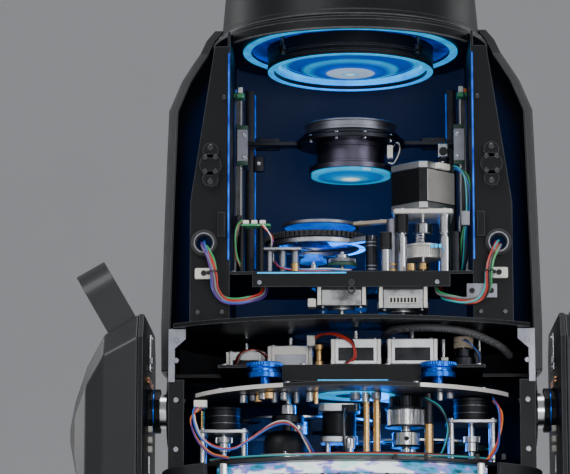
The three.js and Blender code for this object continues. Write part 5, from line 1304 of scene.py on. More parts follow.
class BEAM_OT_effects(BeamLightStep, bpy.types.Operator):
    """Frost disc, prism ring, their swinging arms and the drives on the upper tray"""

    bl_idname = "beam_light.effects"
    bl_label = "Frost and prism"

    def bar(self, start, end, half, low, high, root):
        """A flat bar between two points in plan, drawn to start at a distance from the first."""
        start, end = np.array(start, float), np.array(end, float)
        ahead = (end - start) / np.linalg.norm(end - start)
        side = np.array([-ahead[1], ahead[0]]) * half
        near, far = start + ahead * root, end + ahead * half * 0.8
        corners = [near - side, far - side * 0.7, far + ahead, far + side * 0.7, near + side]
        return slab(corners, low, high, 0.5)

    def build(self):
        prism, pivot, frost, hinge = (-29.0, -18.0), (17.0, -60.0), (-26.0, -30.0), (35.0, -56.6)
        outline = toothed(45.4, 2.0, bpy.context.scene.beam_light_sizes.teeth) + prism
        ring = plate(outline, 546.1, 550.9, [circle(34, 64, prism)], 0.3)
        dots = copies(rod(1.3, 545.95, 546.4, count=10, edge=0.1), lift(circle(39, 12, prism), 0))
        dots = join(dots, copies(rod(1.5, 550.6, 551.2, count=10, edge=0.1), lift(circle(38.5, 8, prism), 0)))
        facets = slab(circle(33.6, 8, prism), 546.6, 549.4, 0.2)
        point = turned([(0, 543.4), (32, 546.6), (0, 546.7)], 8, prism)
        lip = pipe(34.6, 31.5, 545.9, 546.5, prism, 64, 0.1)
        rows = [("black cast", ring), ("bright steel", dots, lip), ("blue glass", facets, point)]
        dress("prism_gear", rows, "prism_ring", ["prism_ring"])
        carrier = pipe(42, 36, 541.3, 545.6, prism, 96, 0.4)
        link_bar = self.bar(prism, pivot, 5, 541.3, 545.6, 40.5)
        stem = rod(5, TRAY, 545.6, pivot, 28, 0.5)
        grooves = [pipe(5.15, 4.4, z, z + 1.4, pivot, 28) for z in (516, 519, 536, 539)]
        rollers = [rod(3, 541, 545.9, tuple(p), 20, 0.6) for p in circle(39, 3, prism)]
        dress("prism_swing_arm", [
            ("brushed plate", carrier, link_bar), ("bright steel", *rollers), ("dark anodised", stem),
            ("satin grey", *grooves),
        ], "prism_arm", ["prism_arm"])
        # Painted light: the frost disc glows blue, standing for light shining through it
        disc = turned([(0, 557.1), (30, 557.1), (30, 558), (0, 558.2)], 96, frost)
        rim = pipe(33, 29.9, 557, 560, frost, 96, 0.4)
        # Painted highlight: a thin bright ring on the frost disc's rim
        painted_shine = pipe(31.8, 31.0, 559.8, 560.1, frost, 96, 0.1)
        arm_bar = self.bar(frost, hinge, 4.5, 557, 560, 31.4)
        stem = rod(5.4, TRAY, 560, hinge, 28, 0.5)
        collars = [pipe(6.6, 5.2, z, z + 2.2, hinge, 28) for z in (515, 520)]
        screws_top = screws([(35, -56.6, 560), (26, -52.7, 560), (8, -44.8, 560)], "z", 1.7, 0.9)
        dress("frost_swing_arm", [
            ("frosted blue", disc), ("satin grey", rim), ("belt tan", arm_bar), ("bright steel", painted_shine, screws_top),
            ("satin grey", stem), ("brass", *collars),
        ], "frost_arm", ["frost_arm"])
        self.tray()

    def tray(self):
        """What stands on the upper tray: plates on posts, gears, a circuit board, connectors and their leads."""
        low, left_at, right_at, stand_at = 512.5, (-31.5, -64), (-7.5, -66), (28.8, -77)
        small_plate = slab(rounded(17.5, 9, 2, 3, (-58.5, -66)), 531.5, 533.6, 0.4)
        under = ((2.8, -68, -68), (2.8, -57, -68), (3.2, -46.5, -68), (2.8, -58, -60))
        posts = [rod(radius, low, 531.5, (x, y), 18, 0.5) for radius, x, y in under]
        left_gear = join(gear(11, 1, 44, 521.5, 525, left_at), gear(8, 0.8, 30, 525.4, 528.5, left_at))
        left_axle = rod(3, low, 529, left_at, 20)
        right_gear = gear(11.4, 0.9, 44, 521.4, 524.6, right_at)
        right_disc = rod(12.4, 518, 521, right_at, 56, 0.4)
        right_hub = join(rod(5.4, 525, 528.5, right_at, 24, 0.6), rod(2, low, 531, right_at, 16))
        board_plate = slab(rounded(13, 8, 1, 2, (-80, -69)), 551.5, 553.2, 0.1)
        board_posts = [rod(2, low, 551.5, (x, y), 14) for x, y in ((-91, -74), (-74.5, -74.5), (-91, -64), (-76, -64))]
        sockets = [block((x, -76.8, 553.2), (x + 5, -73, 556.4), 0.4) for x in (-90, -83, -76)]
        sockets.append(block((-71, -63, 523.5), (-64.5, -58, 531), 0.5))
        chips = [block((-89, -69, 553.2), (-82, -64, 554.6), 0.3), block((-79, -70, 553.2), (-73, -65, 554.8), 0.3)]
        stands = [rod(3.9, low, 531, stand_at, 28), rod(5.2, 531, 545.5, stand_at, 28, 0.6)]
        lit = copies(block((0, -77.5, 532.5), (2.4, -75, 535.6), 0.5), [(x, 0, 0) for x in (66, 69.4, 72.8)])
        front_screws = screws([(x, -80, 503) for x in (-76, 71)], radius=2, high=1.2)
        deck_screws = screws([(x, -74, low) for x in (-98, -20, 98)], "z", 2.2, 1.3)
        eyes = [
            lay(pipe(2.6, 1.8, 0, 0.6, count=28, edge=0.2), (0.3, -80, 503), "front"),
            lay(pipe(3.4, 2, 0, 1.4, count=32, edge=0.4), (0.3, -79.6, 496.9), "front"),
        ]
        # Painted light: the left gear glows blue, and a thin cyan strip glows along the tray's front edge
        rows = [
            ("brushed plate", small_plate), ("bright steel", left_axle, right_hub, stands[0]),
            ("satin grey", *posts, right_gear), ("glow blue", left_gear), ("nylon", *sockets),
            ("shell green", right_disc), ("board", board_plate), ("rubber", *chips),
            ("black cast", stands[1], *board_posts), ("glow cyan", lit),
            ("dark anodised", rod(3.2, low, 547, (88, -70), 20), rod(3.2, low, 547, (-93, -52), 20)),
            ("brass", rod(3.4, low, 520, (-46.5, -76), 20, 0.5), rod(3.4, low, 519, (50, -77.4), 20, 0.5)),
            ("satin grey", front_screws, deck_screws), ("bright steel", rod(1.7, low, 566, (92, -40), 16)),
            ("rubber", lay(rod(1.9, 0, 0.3, count=20, edge=0.1), (0.3, -80, 503), "front")),
            ("black screw", *eyes), ("glow cyan", block((-78, -80.3, 510.6), (-4, -80.0, 511.8), 0.1, 0.1, 1)),
        ]
        dress("tray_drives", rows)
        leads = (
            ("brown green black", [
                (-90, -75, 556), (-94, -79, 550), (-96, -79.5, 538), (-95, -77, 524), (-90, -74, 514),
            ]),
            ("white red", [(-75, -75, 555), (-70, -79, 548), (-66, -79, 540), (-67.5, -62, 531)]),
            ("blue red white", [
                (-64, -60, 525), (-58, -74, 517), (-40, -77, 514.2), (-20, -76.5, 514.2), (0, -74, 514),
            ]),
        )
        for number, (hues, route) in enumerate(leads, 1):
            dress(f"tray_lead_{number}", ribbon(route, wire(hues), 0.6, 1.1))


class BEAM_OT_trays(BeamLightStep, bpy.types.Operator):
    """Stepper motors under the upper tray and in a row on the lower one, with the fittings between them"""

    bl_idname = "beam_light.trays"
    bl_label = "Tray motors"

    def build(self):
        for name, x, low in (("left", -8, 484.2), ("right", 43, 481.7)):
            rows = stepper(x, -54, 42.3, low, 509.7, -1)
            ends = [
                block((x + dx - 1.6, -75.8, low + 0.6), (x + dx + 1.6, -74.6, 509), 0.3, 0.2, 1)
                for dx in (-18.5, 18.5)
            ]
            face = block((x - 16.4, -75.7, low + 1), (x + 16.4, -74.9, 498), 0.4, 0.2, 1)
            mask = block((x - 17, -76.3, 497.4), (x + 17, -75.5, 509.5), 0.4, 0.2, 1)
            rows += [("pale cap", *ends), ("worn plate", face), ("black cast", mask)]
            if name == "left":
                rows.append(("nylon", block((x - 28, -76, low - 1), (x - 21.4, -62, low + 6), 0.5)))
            else:
                slot = block((x - 12, -76.6, low + 4), (x + 12, -75.5, low + 10), 0.3)
                pin = block((-0.9, -0.3, -2), (0.9, 0.1, 2), 0.1, 0.05, 1)
                pins = copies(pin, [(x + dx, -76.6, low + 7) for dx in np.linspace(-10, 10, 8)])
                rows += [("nylon", slot), ("rubber", pins)]
            dress(f"{name}_hanging_motor", rows, "head", [f"{name}_tray_motor"])
        row = ((1, -90, 14, 35.2), (2, -51.5, -20, 39), (3, 3.7, -60, 42.3), (4, 50.3, -60, 42.3))
        for number, x, y, size in row:
            rows = stepper(x, y, size, 434.3, 456)
            half = size / 2
            near, inner, slim = y - half, half - 3.8, half - 6.5
            bars = [
                block((x + dx - 1.5, near - 0.7, 434.8), (x + dx + 1.5, near + 0.4, 455.4), 0.3, 0.2, 1)
                for dx in (-half + 2.2, half - 2.2)
            ]
            face = block((x - inner, near - 0.4, 435), (x + inner, near + 0.4, 455.2), 0.4, 0.2, 1)
            window = block((x - slim, near - 0.8, 437.4), (x + slim, near - 0.3, 448.4), 0.4, 0.2, 1)
            tones = ("pale cap", "satin grey") if number == 2 else ("motor cap", "motor lamination")
            rows += [("pale cap", *bars), (tones[0], face), (tones[1], window)]
            dress(f"row_stepper_{number}", rows, "head", [f"row_motor_{number}"])
        self.fittings()

    def fittings(self):
        """Posts, a pulley, connectors, wires and the braided sleeve between the shelf and the lower tray."""
        wheel_at = (93, -62)
        profile = [(0, ROW), (3.7, ROW), (3.7, 438), (2.6, 439), (2.6, 447), (3.7, 448), (3.7, 452), (0, 452)]
        post = turned(profile, 24, (-26.6, -70))
        tall = rod(1.7, ROW, 459, wheel_at, 16, 0.3)
        wheel = join(pipe(8.2, 3, 453.8, 459.2, wheel_at, 40, 0.5), gear(8, 0.8, 26, 450, 453.8, wheel_at))
        drum = join(rod(10, ROW, 442, wheel_at, 36, 0.6), rod(7, 442, 449, wheel_at, 36, 0.5))
        nylon = [block((-37, -68, 452), (-30.2, -56, 460.5), 0.6), block((74, -74, ROW), (80, -66, 441), 0.5)]
        stands = [rod(2.6, ROW, 462, (x, y), 18, 0.4) for x, y in ((77, -30), (108, -20))]
        dark = [block((101, -58, ROW), (108, -48, 448), 1)]
        caps = screws([(x, y, ROW) for x, y in ((-105, -78), (105, -78), (-40, -80), (30, -80))], "z", 2.3, 1.5)
        # Painted light: a thin cyan strip that glows along the lower tray's front edge
        lit = block((-28, -84.3, 420.6), (30, -84, 421.6), 0.1, 0.1, 1)
        dress("lower_tray_fittings", [
            ("brass", post), ("bright steel", tall, *stands, caps), ("belt tan", wheel),
            ("dark anodised", drum, *dark), ("nylon", *nylon), ("glow cyan", lit),
        ])
        wires = (
            ("red red black", (0.8, 1.5), [
                (-33, -60, 456), (-24, -76, 460), (-12, -84, 459.4), (0, -88, 452), (2, -88, 440), (-4, -86.6, 434.4),
            ]),
            ("black blue", (0.5, 1.2), [(88, -60, 458), (96, -74, 455), (104, -72, 444), (106, -66, 436)]),
            ("red white black", (0.6, 1.3), [(-70, -44, 446), (-80, -56, 450), (-92, -52, 448), (-98, -30, 440)]),
        )
        dress("lower_tray_wires", [row for hues, sizes, route in wires for row in ribbon(route, wire(hues), *sizes)])
        sleeve = smooth([
            (26, -44, 460), (34, -78, 463), (62, -94, 463.2), (94, -90, 460), (120, -72, 452), (132, -48, 446),
        ], 10)
        radius = round(bpy.context.scene.beam_light_sizes.sleeve / MM, 4)
        dress("braided_sleeve", [("braid", tube(sleeve, radius, 16))])
        for side, sign in SIDES:
            hues = "red blue purple grey red green" if sign < 0 else "red teal red black green grey"
            route = [
                (122, -62, 536), (122, -84, 535), (120, -92, 530), (115.5, -96, 520), (113, -97, 508), (112, -96, 496),
                (106, -94, 487.5), (95, -92, 485.5), (83, -88, 488), (76, -81, 491), (73, -74, 495), (72, -67, 503),
                (72, -66, 508),
            ]
            tie = on_side(tube(lift(arc(3.7, np.linspace(0, TURN, 17)) + (113.4, -97), 510), 0.7), sign)
            rows = ribbon([(sign * x, y, z) for x, y, z in route], wire(hues), 0.95, 2.3)
            dress(f"{side}_wire_loom", rows + [("cable tie", tie)], "head", [f"{side}_loom"])


class BEAM_OT_knobs(BeamLightStep, bpy.types.Operator):
    """Blue anodised screws that hold the effects unit"""

    bl_idname = "beam_light.knobs"
    bl_label = "Blue screws"

    def build(self):
        for side, sign in SIDES:
            at = (sign * 71, -99)
            body = turned([
                (0, 413.9), (3.9, 413.9), (3.9, 420.2), (13.9, 420.2), (14.6, 420.8), (14.6, 424.6), (13.9, 425.2),
                (12.6, 425.4), (12.4, 427.8), (12.6, 428.2), (13.9, 428.4), (14.6, 429), (14.6, 432.8),
                (13.9, 433.4), (5, 433.4), (4.6, 431), (2.2, 431), (2.2, 427.4), (0, 427.4),
            ], 64, at)
            notches = copies(rod(0.8, 430.6, 432.9, count=8, edge=0.1), lift(circle(14.2, 40, at), 0))
            rows = [("blue anodised", body, notches), ("bright steel", rod(4.4, 431.1, 432.2, at, 6, 0.2))]
            dress(f"{side}_blue_screw", rows, "head", [f"{side}_knob"])


class BEAM_OT_lower_bay(BeamLightStep, bpy.types.Operator):
    """Round plates of the lower bay with the motors, pulleys and posts between them"""

    bl_idname = "beam_light.lower_bay"
    bl_label = "Lower bay"

    def disc(self, radius, low, high, ear, hole):
        """A round plate with an ear on each side that reaches the side plates."""
        near = math.asin(ear / radius)
        turn = [np.linspace(side + near, side + TURN / 2 - near, 90) for side in (0, TURN / 2)]
        arcs = [arc(radius, part) for part in turn]
        ears = [np.array([(-148.6, ear), (-148.6, -ear)]), np.array([(148.6, -ear), (148.6, ear)])]
        return plate(np.concatenate([arcs[0], ears[0], arcs[1], ears[1]]), low, high, [circle(hole, 64)], 0.5)

    def build(self):
        top = self.disc(142, 409.6, 413.4, 22, 36)
        places = ((-52, -124), (52, -124), (-108, -82), (108, -82), (12, -92), (63, -92), (-127, -11))
        heads = screws(lift(places, 413.4), "z", 2.6, 1.6)
        # Skin on the deck's rim: pale at both front sides, and black in the middle front, which is painted shade
        edge, shade = (
            bent_bar(142.25, 141, -np.linspace(*part, 40), 409.9, 413.2, 0.2)
            for part in ((0.42, 1.17), (1.18, TURN / 2 - 1.18))
        )
        dress("round_deck", [
            ("deck grey", top), ("pale cap", edge, mirror(edge)), ("black cast", shade), ("bright steel", heads),
        ], "head", ["round_plate"])
        low = self.disc(141, 350.4, 353.7, 22, 40)
        profile = [(0, 352), (3.6, 352), (3.6, 358), (2.7, 359), (2.7, 404), (3.6, 405), (3.6, 409.2), (0, 409.2)]
        places = ((0.085, -0.652), (-0.9, -0.08), (0, 0.936))
        pillars = [turned(profile, 24, (x * 141, y * 141)) for x, y in places]
        pair = [rod(3.6, 384, 409.2, (63, -92), 24, 0.5), rod(3.6, 352, 384, (63, -92), 24, 0.5)]
        pins = [
            rod(8, 352, 387.2, (-46.5, 34.7), 32, 0.5), rod(4, 387, 397.4, (-46.5, 34.7), 24, 0.4),
            rod(8, 352, 367.2, (50, 34.9), 32, 0.5), rod(4, 367, 377.4, (50, 34.9), 24, 0.4),
        ]
        ties = [block((x - 1.6, -142.2, 350), (x + 1.6, -137, 354.4), 0.4) for x in (35, 59, 100, 121)]
        dress("bottom_deck", [
            ("deck grey", low), ("brass", *pillars, pair[1]), ("dark anodised", pair[0]), ("bright steel", *pins),
            ("rubber", *ties),
        ], "head", ["bottom_plate"])
        self.drums()
        self.drives()
        self.below()

    def drums(self):
        """Round motors on small plates with four legs."""
        for name, x, top, drum_top, radius in (("left", -106, 381.5, 401.5, 14), ("right", 99, 389.5, 408.5, 15)):
            deck = slab(rounded(20.9, 20.9, 3, 3, (x, -56)), top - 3, top, 0.5)
            legs = [rod(2.2, 354.1, top - 2, (cx, cy), 16, 0.3) for cx, cy, _ in around(x, -56, 17, 0)]
            body = turned([
                (0, top), (radius, top), (radius, top + 1.4), (radius - 0.6, top + 1.8), (radius - 0.6, drum_top - 3),
                (radius, drum_top - 2.6), (radius, drum_top - 0.7), (radius - 0.8, drum_top), (0, drum_top),
            ], 48, (x, -56))
            bands = [pipe(radius + 0.05, radius - 1, z, z + 0.5, (x, -56), 48, 0.1) for z in (top + 6, top + 12)]
            spindle = [rod(2.4, 358, top - 3, (x, -56), 20, 0.4), rod(5.4, 364, 372, (x, -56), 28, 0.6)]
            drive = gear(7, 0.8, 24, 372, 377, (x, -56))
            heads = screws(around(x, -56, 17, top), "z", 2, 1.2)
            dress(f"{name}_round_motor", [
                ("brushed plate", deck), ("bright steel", *legs, *spindle, drive, heads), ("motor lamination", body),
                ("satin grey", *bands),
            ], "head", [f"{name}_drum_motor"])

    def drives(self):
        """Dome motor with a disc and hub, middle motor, toothed pulley, spacers and connectors."""
        dome_at, hub_at, middle_at, pulley = (-54.8, -64), (-52.8, -64), (-10.5, -64), (44.8, -68)
        dome = turned([(0, 381), (9, 380.8), (14, 379), (17, 375.5), (18.4, 370), (18.4, 362), (0, 362)], 56, dome_at)
        heads = screws(lift(circle(18.9, 4, dome_at), 361.6), "z", 1.5, 1)
        flange = join(rod(21.4, 354.2, 361.6, dome_at, 56, 0.8), heads)
        disc = join(rod(13.4, 386.8, 394, hub_at, 56, 0.8), rod(4, 380, 387, hub_at, 24))
        hub = join(rod(6.8, 394.2, 403.2, hub_at, 36, 0.9), rod(2.4, 403, CEILING, hub_at, 20))
        middle = turned([
            (0, 376), (14.4, 376), (14.4, 377.4), (13.8, 378), (13.8, 394.4), (14.4, 395), (14.4, 395.8), (0, 395.8),
        ], 48, middle_at)
        cap = slab(rounded(17.3, 14, 6, 5, middle_at), 396, 403.2, 0.7)
        base = slab(rounded(15.5, 14, 6, 5, middle_at), 370.5, 376, 0.7)
        legs = [rod(2.2, BAY, 370.8, (x, -64), 16) for x in (-20, -1)]
        clip = block((-8.2, -82.6, 395), (3.3, -77.8, 401.2), 1)
        dark = [
            gear(14, 1.2, 36, 400, 408.6, pulley), rod(17.2, 397.6, 399.4, pulley, 56, 0.3),
            rod(17.2, 383, 384.6, pulley, 56, 0.3), rod(12, 366.5, 367.6, pulley, 40),
        ]
        silver = [
            gear(15.6, 1.1, 40, 384.6, 397.6, pulley), rod(11.4, 367.6, 379.4, pulley, 44, 0.9),
            rod(4, BAY, CEILING, pulley, 24),
        ]
        set_screw = lay(rod(2, 0, 0.6, count=16, edge=0.1), (44.8, -79.4, 373.4), "front")
        profile = [(0, 374.5), (2.4, 373.9), (3.7, 371.4), (3.7, 363.8), (2, 363.6), (2, BAY), (0, BAY)]
        small = turned(profile, 28, (-1.3, -92))
        spacer = rod(3, BAY, CEILING, (20.4, -92), 24, 0.4)
        nylon = block((-130, -80, 399.6), (-119, -72, 405.4), 0.6)
        hung = [rod(radius, low, CEILING, (x, y), 24, 0.5) for radius, low, x, y in (
            (3.4, 402.5, -89, -80), (2.6, 404, -81, -82), (4.2, 403.5, -72, -96), (2.4, 400.5, -63, -99),
            (3.4, 403, -55, -99), (2.2, 399.5, -45, -102), (3.6, 401.5, -34, -100), (4.4, 402.5, 3, -99),
            (2.8, 400.5, 11, -101), (4.2, 403, 20, -99), (2.6, 402, 72, -98), (3.6, 404, 80, -94),
        )]
        brass = [
            block((-80, -83, 403.4), (-74, -77, CEILING), 0.4), block((-71, -102, 404), (-64, -97, CEILING), 0.5),
            block((-30.4, -103, 399), (-27.4, -97, CEILING), 0.3),
        ]
        # Painted light: an annulus under the round plate that glows cyan, standing for blue light in the back of the
        # bay
        glow = pipe(33, 17, 408.7, CEILING, (3, -74), 72, 0.2)
        dress("bay_drives", [
            ("motor lamination", dome, middle), ("bright steel", flange, hub, *legs, *silver, small),
            ("dark anodised", disc, *dark), ("brushed plate", cap, base), ("rubber", clip, set_screw),
            ("brass", spacer, *brass), ("nylon", nylon), ("bright steel", *hung[::2]), ("satin grey", *hung[1::2]),
            ("glow cyan", glow),
        ])
        wires = (
            ("red blue white", (0.75, 1.6), [
                (-124, -76, 402), (-129, -84, 394), (-124, -90, 376), (-112, -94, 366), (-96, -98, 364),
                (-82, -100, 372), (-66, -102, 382), (-54, -102, 384), (-44, -100, 378), (-36, -98, 366),
                (-30, -94, 355),
            ]),
            ("black grey", (0.8, 1.3), [
                (-4, -82, 398), (-6, -88, 390), (-7, -90, 376), (-6, -90, 364), (-2, -86, 355),
            ]),
            ("red blue orange", (0.75, 1.5), [
                (117, -74, 406), (122, -80, 396), (121, -82, 380), (118, -80, 366), (112, -84, 355),
            ]),
            ("purple orange", (0.8, 1.4), [
                (-120, -72, 401), (-132, -76, 392), (-128, -84, 374), (-116, -90, 360), (-100, -96, 355),
            ]),
            ("red teal black", (0.8, 1.0, 6), [
                (138 * math.sin(t), -138 * math.cos(t), 355.6) for t in np.linspace(-1.0, 1.0, 15)
            ]),
            ("teal black", (0.7, 1.3), [
                (60, -104, 404), (72, -106, 396), (78, -104, 380), (74, -100, 362), (68, -98, 355),
            ]),
        )
        dress("bay_wires", [row for hues, sizes, route in wires for row in ribbon(route, wire(hues), *sizes)])

    def below(self):
        """Glowing edge of the diffuser under the bottom plate, with a board and blocks at the lamp house's mouth."""
        bow = np.linspace(-TURN / 4 - 1.0, -TURN / 4 + 1.0, 60)
        band = bent_bar(132, 126, bow, 341, 350, 0.6, 0.98)
        dots = copies(rod(1.6, 340.2, 341, count=12, edge=0.1), lift(arc(129, bow, 0.98)[::3], 0))
        green = block((-99, -128, 331), (-70, -116, 339), 0.5)
        spans = ((60, 77), (85, 99), (-64, -54), (-20, 20), (32, 44))
        blocks = [block((start, -127, 329), (end, -117, 340.6), 1) for start, end in spans]
        stays = [block((s * 104 - 3, -112, 330), (s * 104 + 3, -104, 350), 0.8) for s in (-1, 1)]
        dress("lamp_house_top", [
            ("lamp light", band), ("rubber", dots), ("board", green), ("satin grey", *blocks),
            ("bright steel", *stays),
        ])


class BEAM_OT_wheels(BeamLightStep, bpy.types.Operator):
    """Gobo wheel, colour wheel, fan, reflector and lamp"""

    bl_idname = "beam_light.wheels"
    bl_label = "Wheels, fan and lamp"

    def wheel(self, name, node, angle, reach, radius, low, window, count, panes):
        """A disc with round windows, each closed by a pane that a ring holds."""
        at = (reach * math.cos(angle), reach * math.sin(angle))
        holes = arc(reach, angle + TURN / 2 + np.arange(count) / count * TURN) + at
        cuts = [circle(window, 32, hole) for hole in holes] + [circle(4.6, 24, at)]
        disc = plate(circle(radius, 96, at), low + 0.1, low + 1.9, cuts, 0.2)
        hub = pipe(12, 4.6, low - 8, low + 0.2, at, 40, 0.6)
        rings = [pipe(window + 1.6, window - 0.8, low - 0.7, low + 0.1, hole, 32, 0.2) for hole in holes]
        rows = [("bright steel", disc, hub), ("dark anodised", *rings)]
        rows += [(pane, rod(window - 0.1, low + 0.3, low + 1.5, hole, 32, 0.1)) for pane, hole in zip(panes, holes)]
        dress(name, rows, node, [node])

    def build(self):
        self.wheel("gobo_disc", "gobo_wheel", 2.5, 58, 72, 395.5, 12, 7, ["clear glass"] + ["pattern glass"] * 6)
        panes = ["clear glass"] + ["pane " + hue for hue in "red yellow green cyan blue violet orange".split()]
        self.wheel("colour_disc", "colour_wheel", 0.61, 61, 76, 375.5, 13, 8, panes)
        share = np.linspace(0, 1, 22)
        bowl = np.column_stack([14 + 48 * np.sqrt(share), 263 + 87 * share])
        rim = [(67.6, 350), (68, 349.6), (68, 347.4), (67.6, 347), (62.5, 347)]
        shell = turned(np.concatenate([bowl, rim, (bowl + (2.4, 0))[-3::-1]]), 96)
        dress("reflector", [("mirror", shell)], "head", ["lamp_reflector"])
        bulb = turned([
            (0, 286.7), (3.8, 286.7), (4.4, 288.5), (7.2, 291.5), (8, 296), (8, 317), (7.2, 322), (4.6, 325.4),
            (2, 326.5), (0, 326.6),
        ], 40)
        stem = rod(4, 262.6, 286.8, count=28)
        socket = turned([(0, 245.8), (17.2, 245.8), (17.9, 246.6), (17.9, 261.6), (17.2, 262.5), (0, 262.5)], 56)
        rows = [("clear glass", bulb), ("nylon", socket), ("bright steel", stem)]
        dress("discharge_lamp", rows, "head", ["arc_lamp"])
        # Corners of a fan blade: across it as a share of its width, and above its lower face
        corners = ((0, 0), (0, 1.6), (0.5, 2.4), (1, 1.6), (1, 0), (0.5, 0.8))
        t = np.linspace(0, 1, 10)
        wide, steep = 17 + 6 * t, 11 * (1 - 0.25 * t)
        rows = [np.column_stack([19 + 33.5 * t, (u - 0.5) * wide, 229.5 + (0.5 - u) * steep + up]) for u, up in corners]
        blades = spun(skin(np.stack(rows, 1)), bpy.context.scene.beam_light_sizes.vanes)
        hub = turned([(0, 222.4), (19, 222.4), (20, 223.4), (20, 235.6), (19, 236.8), (0, 236.8)], 48)
        rows = [("black cast", blades, hub, rod(3, 218.5, 223, count=20))]
        dress("fan_rotor", rows, "cooling_fan", ["cooling_fan"])


class BEAM_OT_joints(BeamLightStep, bpy.types.Operator):
    """Hubs, latches and small parts between the head and the yoke's arms"""

    bl_idname = "beam_light.joints"
    bl_label = "Tilt joint fittings"

    def build(self):
        axis, face, spans = (0, 0, 405), 172.2, ((152.6, 155.6), (156.2, 165.8))
        for side, s in SIDES:
            hub = join(*[lay(pipe(14.9, 12.2, *span, edge=0.6), axis, "x") for span in spans])
            ring = lay(pipe(19.3, 12.4, 167, 168.4, count=56, edge=0.4), axis, "x")
            bars = screws([(s * 145.5, -65.1, z) for z in (366, 407, 440, 457)], radius=2.3, high=1.5)
            outline = np.array([(152.2, 422), (146.6, 422), (146.6, 450), (137.6, 458), (137.6, 466.4), (152.2, 466.4)])
            lip = lay(slab((outline * (s, 1))[::-s], 65.1, 66.2, 0.2), (0, 0, 0), "front")
            dress(f"{side}_trunnion_sleeve", [
                ("bright steel", on_side(hub, s)), ("blue anodised", on_side(ring, s)), ("satin grey", bars, lip),
            ])
            latch = [block((s * face, -14 + dy, 438), (s * (face - 2.4), -10 + dy, 469), 0.5) for dy in (0, 7)]
            catch = block((s * face, -15, 444), (s * (face - 4.2), -2, 449), 0.8)
            inwards = LIE["x"] if s < 0 else [[0, 1, 0], [0, 0, -1], [-1, 0, 0]]
            ends = screws([(s * (face - 2.4), y, z) for y in (-12, -5) for z in (441, 466)], inwards, 1.3, 0.8)
            x = s * (face - 1.2)
            cable = [tube([(x, -30, z), (x, 0, z + 0.2), (x, 24, z)], 0.8) for z in (427, 430)]
            plugs = [block((s * face, -16, z), (s * (face - 4), -8, z + 5), 0.5) for z in (369, 377, 386)]
            strip = block((s * face, -13, 351), (s * (face - 1.6), -7, 366), 0.4)
            dress(f"{side}_arm_latch", [
                ("bright steel", *latch, ends), ("satin grey", catch), ("copper", *cable), ("nylon", *plugs),
                ("brushed plate", strip),
            ], "yoke")


class BEAM_OT_base(BeamLightStep, bpy.types.Operator):
    """Feet, menu panel with its dial and button, and screws at the front, back and underside of the base"""

    bl_idname = "beam_light.base"
    bl_label = "Base fittings"

    def build(self):
        profile = [(0, 0.1), (11.6, 0.1), (12.8, 0.8), (15.8, 6.4), (16, 7.4), (16, 9.5), (0, 9.5)]
        for end, y in (("front", -113), ("rear", 113)):
            for side, sign in SIDES:
                at = (sign * 158, y)
                rows = [("rubber", turned(profile, 48, at), pipe(13.9, 12.4, 1.6, 2.8, at, 48, 0.3))]
                dress(f"foot_pad_{end}_{side}", rows, "base", [f"foot_{end}_{side}"])
        dial, button = (62, -153, 47), (34, -152.6, 47)
        profile = [(0, 0), (11.4, 0), (11.9, 0.8), (11.9, 6), (10.8, 7.6), (9.6, 8), (0, 8)]
        grip = lay(turned(profile, 48), dial, "front")
        ribs = lay(copies(rod(0.6, 0.8, 6.2, count=8, edge=0.2), lift(circle(11.7, 36), 0)), dial, "front")
        mark = lay(block((-0.5, 4, 7.9), (0.5, 9, 8.15), 0.2, 0.05, 1), dial, "front")
        stalk = lay(rod(3, -4.6, 0.2, count=20), dial, "front")
        rows = [("rubber", grip, ribs), ("nylon", mark), ("bright steel", stalk)]
        dress("menu_knob", rows, "menu_dial", ["menu_dial"])
        profile = [(0, 0), (5.4, 0), (5.4, 3.2), (4.8, 4.2), (3.4, 4.5), (0, 4.6)]
        key, collar, stem = (
            lay(shape, button, "front")
            for shape in (turned(profile, 32), rod(7.2, -5.6, -3.8, count=32), rod(5.2, -4, 0.2, count=32))
        )
        dress("back_key", [("rubber", key, stem, collar)], "back_button", ["back_button"])
        glass = block((-69, -160.6, 31), (5, -159.9, 63), 1.2, 0.2, 4)
        dress("menu_screen", [("screen glass", glass)], "base")
        heads = screws([(s * 80.5, -164.1, z) for s in (-1, 1) for z in (27.5, 66.5)], radius=1.7, high=0.6)
        back = lay(screws([(0, 0, 0)], "z", 2.2, 0.5), (0, 0, 0), "y")
        back = copies(back, [(s * 90, 164.4, z) for s in (-1, 1) for z in (26, 68)])
        places = ((120, -130), (60, -135), (190, 0), (120, 130), (60, 135))
        plate_screws = screws([(s * x, y, 8.0) for s in (-1, 1) for x, y in places], "down", 3, 1.4)
        dress("base_screws", [("bright steel", heads, back, plate_screws)], "base")


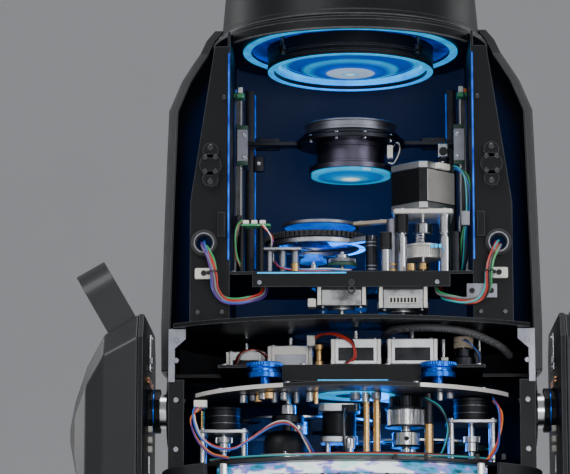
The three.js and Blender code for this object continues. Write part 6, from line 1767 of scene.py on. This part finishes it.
class BEAM_OT_sheet_metal(BeamLightStep, bpy.types.Operator):
    """Sheet-metal plates, trays and side frames that keep their CAD shape, in their finishes"""

    bl_idname = "beam_light.sheet_metal"
    bl_label = "Sheet metal"

    def build(self):
        coat("powder coat", "base_plate", "connector_panel", "yoke_frame", "left_side_plate", "right_side_plate")
        coat("powder coat", "left_side_frame", "right_side_frame", "shelf_plate", "upper_tray", "lower_tray")
        coat("shell plastic", "base_housing", "display_panel")
        coat("brushed plate", "power_supply", "pan_tube")
        coat("motor cap", "pan_motor", "tilt_motor")
        coat("rubber", "pan_belt", "tilt_belt")


STEPS = (
    BEAM_OT_stage, BEAM_OT_covers, BEAM_OT_arms, BEAM_OT_hood, BEAM_OT_head_frame, BEAM_OT_zoom, BEAM_OT_effects,
    BEAM_OT_trays, BEAM_OT_knobs, BEAM_OT_lower_bay, BEAM_OT_wheels, BEAM_OT_joints, BEAM_OT_base, BEAM_OT_sheet_metal,
)
GROUPS = (
    ("beam_light_finishes", BeamLightFinishes), ("beam_light_sizes", BeamLightSizes),
    ("beam_light_stage", BeamLightStage),
)


class BEAM_PT_panel(bpy.types.Panel):
    """Lists the steps that build the light"""

    bl_idname = "BEAM_PT_panel"
    bl_label = "Beam light"
    bl_space_type = "VIEW_3D"
    bl_region_type = "UI"
    bl_category = "Beam light"

    def draw(self, context):
        for step in STEPS:
            self.layout.operator(step.bl_idname)
        for group_name, kind in GROUPS:
            box = self.layout.box()
            for name in kind.__annotations__:
                box.prop(getattr(context.scene, group_name), name)


def register():
    for name, kind in GROUPS:
        bpy.utils.register_class(kind)
        setattr(bpy.types.Scene, name, bpy.props.PointerProperty(type=kind))
    for kind in (*STEPS, BEAM_PT_panel):
        bpy.utils.register_class(kind)


def unregister():
    for kind in (BEAM_PT_panel, *reversed(STEPS)):
        bpy.utils.unregister_class(kind)
    for name, kind in reversed(GROUPS):
        delattr(bpy.types.Scene, name)
        bpy.utils.unregister_class(kind)


def main():
    register()
    for step in STEPS:
        family, name = step.bl_idname.split(".")
        getattr(getattr(bpy.ops, family), name)()
    low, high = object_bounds()
    {"cad": [list(corner) for corner in CAD_BOX], "visual": [list(low), list(high)]}


if __name__ == "__main__":
    main()
